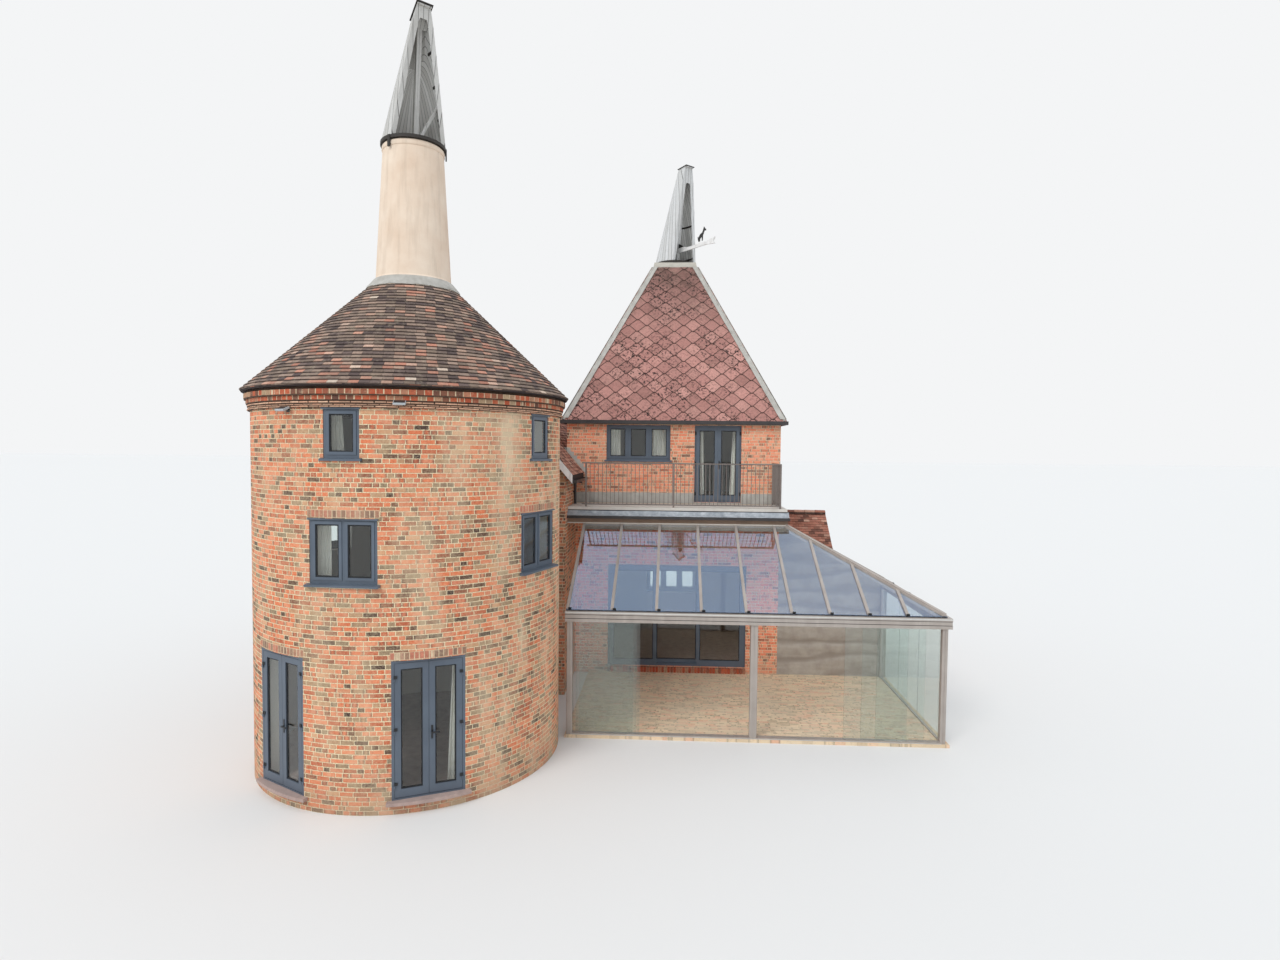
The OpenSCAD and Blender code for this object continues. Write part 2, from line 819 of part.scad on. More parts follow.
// The post that leans from the cross-pieces up to the crown
module cowl_post(h) {
    translate([cowl_post_foot, 0, 0])
        rotate([0, post_lean(h), 0])
            translate([-cowl_post_w / 2, -cowl_post_w / 2, 0])
                cube([cowl_post_w, cowl_post_w, h / cos(post_lean(h))]);
}

// The boarded shell, with thick boards up its open edges and its leaning post
module cowl_boards(h, fall, half) {
    difference() {
        union() {
            cowl_shell(h, fall, 0, board_t);
            intersection() {
                cowl_shell(h, fall, board_t - 1, edge_w);
                cowl_mouth(h, half, edge_t);
            }
            intersection() {
                cowl_form(h, fall, board_t - 1);
                union() {
                    cowl_post(h);
                    children();
                }
            }
        }
        cowl_mouth(h, half, 0);
        block([-2 * cowl_r, -2 * cowl_r, -cut], [2 * cowl_r, 2 * cowl_r, ring_h + seat]);
    }
}

// The brace beside the post, and the board that closes the crown from below
module cowl_brace(h) {
    head = crown_front - board_t - cut - gap;
    foot = post_front(h - soffit_h, h);
    translate([cowl_post_foot, 0, ring_h / 2])
        rotate([-26, 10, 0])
            translate([-30, -25, 0]) cube([60, 50, h / 2]);
    across_cowl(crown_w + cowl_r)
        polygon([
            [head, h - board_t],
            [foot, h - soffit_h],
            [foot - board_t, h - soffit_h],
            [head - board_t, h - board_t]
        ]);
}

// Ring, cross-pieces, spindle and the cap on the crown
module cowl_frame(h, fall, reach) {
    slope = fall / (crown_len - crown_bar);
    back = crown_front - crown_len - cap_over;
    front = crown_front + cap_over;
    low = h - fall - cap_over * slope + seat;
    high = low + (front - back) * slope;
    difference() {
        cylinder(r = cowl_r, h = ring_h);
        translate([0, 0, -cut]) cylinder(r = cowl_r - ring_w, h = ring_h + 2 * cut);
    }
    block([-cowl_r + ring_w / 2, -35, 0], [cowl_r - ring_w / 2, 35, ring_h]);
    block([-35, -cowl_r + ring_w / 2, 0], [35, cowl_r - ring_w / 2, ring_h]);
    translate([0, 0, -reach]) cylinder(d = spindle_d, h = reach + ring_h);
    across_cowl(crown_w + 2 * cap_over)
        polygon([[back, low], [front, high], [front, high + cap_t], [back, low + cap_t]]);
}

// Iron straps round the inside of the boards, reaching back from the edge boards
module cowl_straps(h, fall, half, levels, back) {
    difference() {
        intersection() {
            cowl_shell(h, fall, board_t + seat, board_t + strap_t);
            cowl_mouth(h, half, back);
            union() {
                for (z = levels)
                    block([-2 * cowl_r, -2 * cowl_r, z], [2 * cowl_r, 2 * cowl_r, z + strap_h]);
            }
        }
        cowl_mouth(h, half, edge_t + seat);
    }
}

module at_roundel_cowl() {
    translate([0, 0, stack_top + ring_lift]) rotate([0, 0, cowl_bearing]) children();
}

module at_kiln_cowl() {
    translate([kiln_x, kiln_y, curb_z + curb_h + ring_lift]) rotate([0, 0, cowl_bearing]) children();
}

module roundel_cowl_boards() {
    color(board_grey)
        at_roundel_cowl()
            cowl_boards(roundel_cowl_h, roundel_crown_drop, roundel_open_half) cowl_brace(roundel_cowl_h);
}

module roundel_cowl_frame() {
    h = roundel_cowl_h;
    color(gutter_black)
        at_roundel_cowl() {
            cowl_frame(h, roundel_crown_drop, beam_drop + ring_lift + bearing_w);
            cowl_straps(h, roundel_crown_drop, roundel_open_half, [0.25 * h, 0.48 * h, 0.71 * h],
                edge_t + strap_len);
            translate([0, 0, -beam_drop - ring_lift + pin_gap]) cylinder(r = shoulder_r, h = 60);
            for (side = [-1, 1])
                rotate([0, 0, side * (roundel_open_half + 3)])
                    block([cowl_r - strap_t, -30, -strap_drop], [cowl_r + strap_t, 30, ring_h]);
        }
}

module kiln_cowl_boards() {
    color(board_grey) at_kiln_cowl() cowl_boards(kiln_cowl_h, kiln_crown_drop, kiln_open_half);
}

module kiln_cowl_frame() {
    h = kiln_cowl_h;
    color(gutter_black)
        at_kiln_cowl() {
            cowl_frame(h, kiln_crown_drop, ring_lift + curb_h);
            cowl_straps(h, kiln_crown_drop, kiln_open_half, [0.1 * h, 0.43 * h], 3 * cowl_r);
            translate([0, 0, -ring_lift + pin_gap]) cylinder(r = shoulder_r, h = ring_lift);
        }
}

// The pointer that stands out of the square kiln's cowl, with a small leaping animal on it
module kiln_cowl_vane() {
    arm_z = 370;
    arm_h = 90;
    arm_t = 40;
    tail = 45;
    notch = 350;
    knee = 170;
    animal_t = 12;
    root = post_front(arm_z, kiln_cowl_h) + seat;
    shoulder = post_front(arm_z + arm_h, kiln_cowl_h) + seat;
    color(white_paint)
        at_kiln_cowl()
            translate([0, arm_t / 2, arm_z])
                rotate([90, 0, 0]) {
                    linear_extrude(arm_t)
                        polygon([
                            [root, 0], [vane_len - notch, 0], [vane_len, -tail],
                            [vane_len - notch / 5, arm_h / 2], [vane_len, arm_h + tail],
                            [vane_len - notch, arm_h], [shoulder + 2 * knee, arm_h],
                            [post_front(arm_z + arm_h + knee, kiln_cowl_h) + seat, arm_h + knee],
                            [shoulder, arm_h]
                        ]);
                    translate([vane_len * 0.66, arm_h - 1, arm_t / 2 - animal_t / 2])
                        linear_extrude(animal_t) scale(1.3) leaping_animal();
                }
}

// A small animal rearing up, drawn over the arm that it stands on
module leaping_animal() {
    polygon([
        [-60, 0], [-40, 0], [-30, 90], [20, 130], [30, 0], [50, 0], [60, 150],
        [110, 240], [150, 230], [160, 250], [120, 290], [90, 330], [75, 290],
        [40, 220], [-30, 190], [-90, 130], [-110, 150], [-100, 90]
    ]);
}

module ground_floors() {
    inner = kiln_half - wall_t;
    color(stone_pale) {
        cylinder(r = roundel_r - wall_t - seat, h = floor_z);
        translate([kiln_x, kiln_y, 0]) block([-inner, -inner, 0], [inner, inner, floor_z]);
        block([link_left + wall_t, link_front + wall_t, 0], [link_right - wall_t, kiln_front, floor_z]);
        block([link_left + wall_t, kiln_front, 0], [kiln_left, link_back - wall_t, floor_z]);
        block([kiln_right, wing_front + wall_t, 0], [wing_right - wall_t, wing_back - wall_t, floor_z]);
    }
}

module upper_floors() {
    inner = kiln_half - wall_t;
    color(floor_wood) {
        for (z = [roundel_first_z, roundel_second_z])
            translate([0, 0, z - floor_t]) cylinder(r = roundel_r - wall_t - seat, h = floor_t);
        translate([kiln_x, kiln_y, kiln_first_z - floor_t])
            block([-inner, -inner, 0], [inner, inner, floor_t]);
        translate([0, 0, roundel_first_z - floor_t]) {
            block([link_left + wall_t, link_front + wall_t, 0], [link_right - wall_t, kiln_front, floor_t]);
            block([link_left + wall_t, kiln_front, 0], [kiln_left, link_back - wall_t, floor_t]);
        }
    }
}

// Puts a window into a straight wall: local x runs along the wall, y goes into it
module at_house_window(w) {
    translate([w[0], w[1], w[4]])
        rotate([0, 0, w[2]])
            translate([-w[3] / 2, frame_set, 0]) children();
}

module house_windows_cut() {
    for (w = house_windows)
        translate([w[0], w[1], w[4]])
            rotate([0, 0, w[2]])
                block([-w[3] / 2, -cut, 0], [w[3] / 2, wall_t + cut, w[5] - w[4]]);
}

module house_window_frames() {
    color(anthracite)
        for (w = house_windows)
            at_house_window(w) {
                window(w[3], w[5] - w[4], w[6]);
                sill_strip(w[3], frame_set, frame_set + drip_out);
            }
}

module house_window_glass() {
    color(glass_blue) {
        for (w = house_windows) at_house_window(w) window_panes(w[3], w[5] - w[4], w[6]);
        upper_door_glass();
        for (x = [slider_frame_b, slider_w - slider_frame_b - slider_leaf_w])
            translate([slider_x + x, kiln_front + frame_set, 0]) slider_glass();
    }
}

module kiln_front_wall_lower() {
    color(kiln_red)
        difference() {
            block([kiln_left, kiln_front, 0], [kiln_right, kiln_front + wall_t, slider_head]);
            block([slider_x, kiln_front - cut, floor_z],
                [slider_x + slider_w, kiln_front + wall_t + cut, slider_head + cut]);
        }
}

module kiln_front_wall_upper() {
    color(kiln_red)
        difference() {
            block([kiln_left, kiln_front, slider_head], [kiln_right, kiln_front + wall_t, kiln_wall_h]);
            house_windows_cut();
            block([upper_door_x, kiln_front - cut, kiln_first_z],
                [upper_door_x + upper_door_w, kiln_front + wall_t + cut, window_head]);
        }
}

module kiln_left_wall() {
    color(kiln_red)
        block([kiln_left, kiln_front + wall_t, 0], [kiln_left + wall_t, kiln_back - wall_t, kiln_wall_h]);
}

module kiln_right_wall() {
    color(kiln_red)
        difference() {
            block([kiln_right - wall_t, kiln_front + wall_t, 0],
                [kiln_right, kiln_back - wall_t, kiln_wall_h]);
            house_windows_cut();
        }
}

module kiln_back_wall() {
    color(kiln_red)
        difference() {
            block([kiln_left, kiln_back - wall_t, 0], [kiln_right, kiln_back, kiln_wall_h]);
            house_windows_cut();
        }
}

// A square frustum on the kiln's axis
module frustum(half0, half1, z0, z1) {
    translate([kiln_x, kiln_y, z0])
        linear_extrude(z1 - z0, scale = half1 / half0)
            square(2 * half0, center = true);
}

module kiln_roof() {
    edge_top = kiln_wall_h + kiln_edge_h;
    low_in = kiln_roof_half - kiln_roof_in;
    seat = kiln_half - wall_t + 80;
    color(tile_pink) {
        difference() {
            frustum(kiln_roof_half, curb_half, edge_top, curb_z);
            frustum(low_in, curb_half - kiln_roof_in, edge_top, curb_z);
        }
        translate([kiln_x, kiln_y, kiln_wall_h])
            difference() {
                block([-kiln_roof_half, -kiln_roof_half, 0], [kiln_roof_half, kiln_roof_half, kiln_edge_h]);
                block([-seat, -seat, -cut], [seat, seat, kiln_edge_h + cut]);
            }
    }
}

// Lead-dressed strips over the four hips
module kiln_hips() {
    edge_top = kiln_wall_h + kiln_edge_h;
    rise = curb_z - edge_top;
    run = (kiln_roof_half - curb_half) * sqrt(2);
    hip_w = 110;
    color(lead_grey)
        difference() {
            for (a = [45:90:315])
                translate([kiln_x, kiln_y, edge_top])
                    rotate([0, 0, a])
                        translate([kiln_roof_half * sqrt(2), 0, 0])
                            rotate([0, -atan2(run, rise), 0])
                                translate([-60, -hip_w / 2, 0])
                                    cube([85, hip_w, norm([run, rise])]);
            frustum(kiln_roof_half, curb_half, edge_top, curb_z);
            translate([kiln_x, kiln_y, curb_z - 30])
                block([-curb_half - cut, -curb_half - cut, 0], [curb_half + cut, curb_half + cut, 200]);
            translate([kiln_x, kiln_y, 0])
                block([-2 * kiln_half, -2 * kiln_half, 0], [2 * kiln_half, 2 * kiln_half, edge_top]);
        }
}

// A gutter of trough section along +Y, with its wall side at x = 0
module gutter(len, w, h) {
    wall = 8;
    difference() {
        cube([w, len, h]);
        translate([wall, wall, wall]) cube([w - 2 * wall, len - 2 * wall, h]);
    }
}

module gutters() {
    w = 75;
    edge = kiln_roof_half;
    len = 2 * (edge + w);
    eaves_w = 100;
    eaves_h = 70;
    shoe_h = 60;
    clip = 40;
    foot = link_eaves - link_drop;
    pipe_y = kiln_front - pipe_set;
    pipe_x = link_right + pipe_r + pipe_off;
    color(gutter_black) {
        for (a = [0:90:270])
            translate([kiln_x, kiln_y, kiln_wall_h + 5])
                rotate([0, 0, a])
                    translate([edge, -len / 2, 0]) gutter(len - w, w, 90);
        translate([link_right + eaves_over, link_front - verge, foot])
            gutter(kiln_front - link_front + verge - gap, eaves_w, eaves_h);
        translate([link_left - eaves_over, link_back + verge, foot])
            rotate([0, 0, 180]) gutter(link_back - link_front + 2 * verge, eaves_w, eaves_h);
        translate([pipe_x, pipe_y, deck_z]) cylinder(r = pipe_r, h = foot - deck_z, $fn = 40);
        translate([link_right, pipe_y - clip / 2, deck_z + 300]) cube([pipe_x - link_right, clip, clip]);
        translate([pipe_x, pipe_y - pipe_r, foot - shoe_h])
            cube([eaves_over - pipe_r - pipe_off + 30, 2 * pipe_r, shoe_h]);
        translate([link_right, ledger_y, apron_foot - gap - deck_gutter_h])
            rotate([0, 0, -90]) gutter(deck_right - link_right + 40, deck_gutter_w, deck_gutter_h);
    }
}

// The flat roof of the balcony, with the timber fascia that carries its front edge
module balcony_deck() {
    color(timber_brown) {
        block([link_right, deck_front, deck_z - deck_t], [deck_right, kiln_front, deck_z]);
        translate([link_right, 0, 0])
            rotate([90, 0, 90])
                linear_extrude(deck_right - link_right)
                    polygon([
                        [ledger_y, deck_z - deck_t],
                        [deck_front, deck_z - deck_t],
                        [deck_front, apron_top],
                        [ledger_y, apron_foot]
                    ]);
    }
}

// Lead dressed out over the fascia
module balcony_apron() {
    color(lead_grey)
        translate([link_right, 0, 0])
            rotate([90, 0, 90])
                linear_extrude(deck_right - link_right + 30)
                    polygon([
                        [deck_front, apron_top],
                        [ledger_y, apron_foot],
                        [ledger_y - apron_out, apron_foot + apron_t / 2],
                        [ledger_y - apron_out, apron_foot + apron_t],
                        [ledger_y, apron_foot + apron_t],
                        [deck_front - apron_t, apron_top + apron_t],
                        [deck_front - apron_t, apron_top + 2 * apron_t],
                        [deck_front, apron_top + 2 * apron_t]
                    ]);
}

module railing_run(len, posts) {
    rail = 40;
    bar = 14;
    foot = 60;
    n = floor((len - rail) / rail_pitch);
    translate([0, -rail / 2, foot]) cube([len, rail, 30]);
    translate([0, -rail / 2, rail_h - 30]) cube([len, rail, 30]);
    for (i = [1:n])
        translate([i * len / (n + 1) - bar / 2, -bar / 2, foot + 29]) cube([bar, bar, rail_h - foot - 58]);
    for (x = posts) translate([x - rail / 2, -rail / 2, 0]) cube([rail, rail, rail_h]);
}

module balcony_railing() {
    front = deck_front + 50;
    side = deck_right - 165;
    rail_left = link_right + eaves_over + 130;
    color(rail_brown)
        translate([0, 0, deck_z]) {
            translate([rail_left, front, 0])
                railing_run(side - rail_left,
                    [100, kiln_left + rail_post_set - rail_left, side - rail_left]);
            translate([side, front, 0])
                rotate([0, 0, 90]) railing_run(kiln_front - front, [kiln_front - front - 20]);
        }
}

module kiln_upper_doors() {
    h = window_head - kiln_first_z;
    color(anthracite)
        translate([upper_door_x, kiln_front + frame_set, kiln_first_z]) {
            framed(upper_door_w, h, 1, frame_b, 0, frame_d);
            for (x = [frame_b, upper_door_w / 2 + 1])
                translate([x, -sash_proud, frame_b]) {
                    framed(upper_leaf_w, h - 2 * frame_b, 1, upper_stile, 0, frame_d);
                    block([upper_stile - 1, 0, upper_stile - 1],
                        [upper_leaf_w - upper_stile + 1, frame_d, upper_rail]);
                }
        }
}

module upper_door_glass() {
    h = window_head - kiln_first_z;
    for (x = [frame_b, upper_door_w / 2 + 1])
        translate([upper_door_x + x + upper_stile, kiln_front + frame_set + glass_back - glass_t,
            kiln_first_z + frame_b + upper_rail])
            cube([upper_leaf_w - 2 * upper_stile, glass_t, h - 2 * frame_b - upper_stile - upper_rail]);
}

// One panel of the sliding door, with its own corner at the origin
module slider_panel() {
    translate([0, 0, slider_foot])
        framed(slider_leaf_w, slider_leaf_h, 1, slider_stile, 0, slider_t);
}

module slider_glass() {
    translate([slider_stile, slider_t / 2 - glass_t / 2, slider_foot + slider_stile])
        cube([slider_leaf_w - 2 * slider_stile, glass_t, slider_leaf_h - 2 * slider_stile]);
}

module kiln_slider_frame() {
    color(anthracite) {
        translate([slider_x, kiln_front + frame_set, floor_z])
            framed(slider_w, slider_head - floor_z, 1, slider_frame_b, 0, slider_depth);
        for (x = [slider_frame_b, slider_w - slider_frame_b - slider_leaf_w])
            translate([slider_x + x, kiln_front + frame_set, 0]) {
                slider_panel();
                translate([0, 0, slider_foot - gap - 1])
                    cube([slider_leaf_w, slider_t, gap + 2]);
                translate([0, 0, slider_foot + slider_leaf_h - 1])
                    cube([slider_leaf_w, slider_t, gap + 2]);
            }
    }
}

module at_slider_leaf() {
    translate([
        slider_x + (slider_w - slider_leaf_w) / 2,
        kiln_front + frame_set + slider_t + slider_clear,
        0
    ])
        children();
}

module kiln_slider_leaf() {
    color(anthracite) at_slider_leaf() slider_panel();
}

module kiln_slider_leaf_glass() {
    color(glass_blue) at_slider_leaf() slider_glass();
}

module veranda_floor() {
    edge = beam_d / 2;
    color(paver_red)
        block([veranda_left - 40, veranda_front - edge, 0],
            [veranda_right + edge, kiln_front, paving_t]);
}

// A layer between two distances above the front slope's glass line
module front_layer(d0, d1) {
    span = 2 * (veranda_right - veranda_left);
    translate([0, veranda_front, glass_low_z])
        rotate([glass_rise, 0, 0])
            translate([0, -span / 4, d0]) cube([2 * span, span, d1 - d0]);
}

// The same layer over the right-hand slope
module side_layer(d0, d1) {
    span = 2 * (veranda_right - veranda_left);
    translate([veranda_right, 0, glass_low_z])
        rotate([0, glass_rise, 0])
            translate([-span * 3 / 4, -span / 4, d0]) cube([span, span, d1 - d0]);
}

// Plans of the two slopes, which meet on the hip's diagonal
module front_plan(trim) {
    polygon([
        [veranda_left - bar_w / 2, veranda_front - trim],
        [veranda_right + trim, veranda_front - trim],
        [hip_x, ledger_y],
        [veranda_left - bar_w / 2, ledger_y]
    ]);
}

module side_plan(trim) {
    polygon([
        [veranda_right + trim, veranda_front - trim],
        [veranda_right + trim, kiln_front],
        [kiln_right, kiln_front],
        [kiln_right, ledger_y],
        [hip_x, ledger_y]
    ]);
}

module plan_strip_y(x, w) {
    translate([x - w / 2, 0]) square([w, kiln_front]);
}

module plan_strip_x(y, w) {
    translate([hip_x, y - w / 2]) square([2 * (veranda_right - hip_x), w]);
}

module hip_strip(w) {
    translate([veranda_right, veranda_front])
        rotate(135) translate([-2 * w, -w / 2]) square([2 * (veranda_right - hip_x), w]);
}

// Extrudes a plan between two levels that clear the whole glass roof
module through_roof() {
    linear_extrude(2 * glass_high_z) children();
}

// Rafters or caps on both slopes between two distances from the glass line
module glazing_bars(d0, d1, start) {
    side_bar_y = concat([for (i = [1:3]) veranda_front + i * narrow_pitch],
        [(ledger_y + kiln_front) / 2, kiln_front - bar_w / 2]);
    intersection() {
        front_layer(d0, d1);
        through_roof()
            intersection() {
                front_plan(0);
                translate([0, start]) square([2 * veranda_right, ledger_y]);
                union() {
                    for (x = concat(bar_x, hip_bar_x)) plan_strip_y(x, bar_w);
                    hip_strip(2 * bar_w);
                }
            }
    }
    intersection() {
        side_layer(d0, d1);
        through_roof()
            intersection() {
                side_plan(0);
                square([veranda_right - (start - veranda_front), kiln_front]);
                union() {
                    for (y = side_bar_y) plan_strip_x(y, bar_w);
                    hip_strip(2 * bar_w);
                }
            }
    }
}

module veranda_bars() {
    color(champagne) {
        glazing_bars(-rafter_h, 0, veranda_front + beam_d / 2);
        glazing_bars(roof_glass_t, roof_glass_t + cap_h, veranda_front);
        intersection() {
            front_layer(roof_glass_t, roof_glass_t + hip_cap_h);
            through_roof()
                intersection() {
                    front_plan(0);
                    hip_strip(1.5 * bar_w);
                }
        }
        intersection() {
            side_layer(roof_glass_t, roof_glass_t + hip_cap_h);
            through_roof()
                intersection() {
                    side_plan(0);
                    hip_strip(1.5 * bar_w);
                }
        }
    }
}

module fixed_pane(x, w) {
    translate([x, veranda_front - pane_t / 2 + track_step, pane_z - gap])
        cube([w, pane_t, pane_h + gap]);
}

module sliding_pane(x, w, lane) {
    translate([x, veranda_front - pane_t / 2 + lane * track_step, pane_z]) cube([w, pane_t, pane_h]);
}

module veranda_glass() {
    seam = 6;
    side_y = veranda_front + beam_d / 2;
    color(glass_blue) {
        intersection() {
            front_layer(0, roof_glass_t);
            through_roof()
                difference() {
                    front_plan(20);
                    hip_strip(seam);
                }
        }
        intersection() {
            side_layer(0, roof_glass_t);
            through_roof()
                difference() {
                    side_plan(20);
                    hip_strip(seam);
                }
        }
        fixed_pane(left_bay_x, left_pane_w);
        fixed_pane(right_bay_x + right_bay_w - right_pane_w, right_pane_w);
        for (i = [0:2])
            block([post_x_right - pane_t / 2, side_y + i * side_step() + seam, paving_t + track_h],
                [post_x_right + pane_t / 2, side_y + (i + 1) * side_step() - seam, beam_z]);
    }
}

function side_step() = (kiln_front - post_w - veranda_front - beam_d / 2) / 3;

// Plan of the front and right-hand beams, drawn in at their faces by an inset
module beam_plan(inset) {
    edge = beam_d / 2 - inset;
    translate([veranda_left - 40, veranda_front - edge])
        square([veranda_right + edge - veranda_left + 40, 2 * edge]);
    translate([veranda_right - edge, veranda_front])
        square([2 * edge, kiln_front - veranda_front]);
}

// A post of moulded section about its own axis, grooved down the middle of each broad face
module veranda_post(w) {
    flat = post_w - 2 * post_corner;
    translate([0, 0, paving_t])
        linear_extrude(beam_z - paving_t + 1)
            difference() {
                union() {
                    square([w - 2 * post_corner, post_w], center = true);
                    square([w, flat], center = true);
                    for (x = [-1, 1])
                        for (y = [-1, 1])
                            translate([x * (w / 2 - post_corner), y * flat / 2])
                                circle(r = post_corner, $fn = 24);
                }
                for (y = [-1, 1])
                    translate([0, y * post_w / 2]) square([post_groove_w, 2 * post_groove_d], center = true);
            }
}

module veranda_frame() {
    color(champagne) {
        for (i = [0:4])
            translate([0, 0, beam_z + beam_levels[i] * beam_h])
                linear_extrude((beam_levels[i + 1] - beam_levels[i]) * beam_h) beam_plan(beam_insets[i]);
        translate([post_x_left, veranda_front, 0]) veranda_post(post_w);
        translate([mid_post_x, veranda_front, 0]) veranda_post(mid_post_w);
        translate([post_x_right, veranda_front, 0]) veranda_post(post_w);
        translate([post_x_right, kiln_front - post_w / 2, 0]) veranda_post(post_w);
        for (bay = [[left_bay_x, left_bay_w], [right_bay_x, right_bay_w]])
            translate([bay[0] - 1, veranda_front - track_w / 2, paving_t])
                cube([bay[1] + 2, track_w, track_h]);
        translate([post_x_right - 30, veranda_front + post_w / 2 - 1, paving_t])
            cube([60, kiln_front - veranda_front - 1.5 * post_w + 2, track_h]);
        ledger();
    }
}

// The rail under the fascia and beside the kiln that takes the heads of the glazing bars
module ledger() {
    h = rafter_h / cos(glass_rise);
    block([veranda_left - bar_w / 2, ledger_y, glass_high_z - h - 40],
        [hip_x, deck_front - 1, deck_z - deck_t - seat]);
    block([hip_x - 40, ledger_y, glass_high_z - h - 40], [hip_x + 3, kiln_front, deck_z - deck_t - seat]);
}

module veranda_rear_wall() {
    rear_t = 150;
    color(stone_pale)
        difference() {
            block([kiln_right, kiln_front, 0],
                [veranda_right + beam_d / 2, kiln_front + rear_t, glass_high_z]);
            side_layer(0, 2 * glass_high_z);
        }
}

module left_pane_a() {
    color(glass_blue) sliding_pane(left_bay_x + 70, left_pane_w, 0);
}

module left_pane_b() {
    color(glass_blue) sliding_pane(left_bay_x + 140, left_pane_w, -1);
}

module right_pane_a() {
    color(glass_blue)
        sliding_pane(right_bay_x + right_bay_w - right_pane_w - 300, right_pane_w, 0);
}

module right_pane_b() {
    color(glass_blue)
        sliding_pane(right_bay_x + right_bay_w - right_pane_w - 650, right_pane_w, -1);
}

// The plain gable outline of the stowage, up to the underside of its roof
module stowage_outline(x0, x1) {
    polygon([
        [x0, 0],
        [x1, 0],
        [x1, link_z(x1) - link_drop - seat],
        [link_ridge_x, link_z(link_ridge_x) - link_drop - seat],
        [x0, link_z(x0) - link_drop - seat]
    ]);
}

module along_y(y0, y1) {
    translate([0, y1, 0]) rotate([90, 0, 0]) linear_extrude(y1 - y0) children();
}

// Walls of the stowage, open to the kiln's own wall, with a brick throat to the roundel
module stowage_walls() {
    color(brick_red) {
        difference() {
            along_y(link_front, link_back) stowage_outline(link_left, link_right);
            along_y(link_front + wall_t, link_back - wall_t)
                stowage_outline(link_left + wall_t, link_right - wall_t);
            block([kiln_left, kiln_front, -cut], [kiln_right, kiln_back + cut, kiln_wall_h + cut]);
            block([link_right - wall_t - cut, kiln_front, -cut],
                [kiln_right, link_back - wall_t, kiln_wall_h]);
            house_windows_cut();
        }
        difference() {
            block([-neck_half, 0, 0], [neck_half, link_front + 1, neck_h]);
            translate([0, 0, -cut]) cylinder(r = roundel_r + seat, h = neck_h + 2 * cut);
        }
    }
}

module wing_walls() {
    color(kiln_red)
        difference() {
            translate([kiln_right, 0, 0]) along_x(wing_len) wing_outline(wing_front, wing_back);
            translate([kiln_right - cut, 0, 0])
                along_x(wing_len - wall_t + cut)
                    wing_outline(wing_front + wall_t, wing_back - wall_t);
            house_windows_cut();
        }
}

module along_x(len) {
    rotate([90, 0, 90]) linear_extrude(len) children();
}

module wing_outline(y0, y1) {
    polygon([
        [y0, 0],
        [y1, 0],
        [y1, wing_z(y1) - wing_drop - seat],
        [wing_ridge_y, wing_z(wing_ridge_y) - wing_drop - seat],
        [y0, wing_z(y0) - wing_drop - seat]
    ]);
}

module low_roofs() {
    color(tile_brown) {
        difference() {
            along_y(link_front - verge, link_back + verge)
                polygon([
                    [link_left - eaves_over, link_eaves - link_drop],
                    [link_left - eaves_over, link_eaves],
                    [link_ridge_x, link_z(link_ridge_x)],
                    [link_right + eaves_over, link_eaves],
                    [link_right + eaves_over, link_eaves - link_drop],
                    [link_ridge_x, link_z(link_ridge_x) - link_drop]
                ]);
            block([kiln_left, kiln_front, 0], [kiln_right, kiln_back + verge + cut, 2 * kiln_wall_h]);
            cylinder(r = eaves_r + gap, h = 2 * roundel_wall_h);
        }
        translate([kiln_right, 0, 0])
            along_x(wing_len + wing_verge)
                polygon([
                    [wing_front - eaves_over, wing_eaves - wing_drop],
                    [wing_front - eaves_over, wing_eaves],
                    [wing_ridge_y, wing_z(wing_ridge_y)],
                    [wing_back + eaves_over, wing_eaves],
                    [wing_back + eaves_over, wing_eaves - wing_drop],
                    [wing_ridge_y, wing_z(wing_ridge_y) - wing_drop]
                ]);
    }
}

// White boards under the stowage's verges
module bargeboards() {
    board_h = 210;
    color(white_paint)
        difference() {
            for (y = [link_front - verge - board_t, link_back + verge])
                along_y(y, y + board_t)
                    polygon([
                        [link_left - eaves_over, link_eaves - board_h],
                        [link_left - eaves_over, link_eaves],
                        [link_ridge_x, link_z(link_ridge_x)],
                        [link_right + eaves_over, link_eaves],
                        [link_right + eaves_over, link_eaves - board_h],
                        [link_ridge_x, link_z(link_ridge_x) - board_h]
                    ]);
            block([kiln_left, kiln_front, 0], [kiln_right, kiln_back + 2 * verge, 2 * kiln_wall_h]);
            cylinder(r = eaves_r + gap, h = 2 * roundel_wall_h);
        }
}

ground_floors();
upper_floors();
roundel_wall_front();
roundel_wall_right();
roundel_wall_back();
roundel_wall_left();
roundel_upper_wall_front();
roundel_upper_wall_right();
roundel_upper_wall_back();
roundel_cornice();
roundel_roof();
roundel_stack();
roundel_window_frames();
roundel_window_glass();
roundel_door_frames();
roundel_sills();
left_door_leaf_a();
left_door_leaf_b();
right_door_leaf_a();
right_door_leaf_b();
left_door_glass_a();
left_door_glass_b();
right_door_glass_a();
right_door_glass_b();
cowl_bearings();
roundel_cowl_boards();
roundel_cowl_frame();
kiln_front_wall_lower();
kiln_front_wall_upper();
kiln_left_wall();
kiln_right_wall();
kiln_back_wall();
kiln_roof();
kiln_hips();
gutters();
house_window_frames();
house_window_glass();
kiln_upper_doors();
kiln_slider_frame();
kiln_slider_leaf();
kiln_slider_leaf_glass();
kiln_cowl_boards();
kiln_cowl_frame();
kiln_cowl_vane();
balcony_deck();
balcony_apron();
balcony_railing();
veranda_floor();
veranda_frame();
veranda_bars();
veranda_glass();
veranda_rear_wall();
left_pane_a();
left_pane_b();
right_pane_a();
right_pane_b();
stowage_walls();
wing_walls();
low_roofs();
bargeboards();
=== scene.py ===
"""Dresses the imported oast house: brick, tile, board, metal and glass finishes, and the small pieces on it."""
import json
import logging
import math
import random
from dataclasses import dataclass, field, replace
from enum import Enum
from typing import Any, Callable, Iterable, Sequence

import bmesh
import bpy
import numpy as np
from mathutils import Matrix, Vector


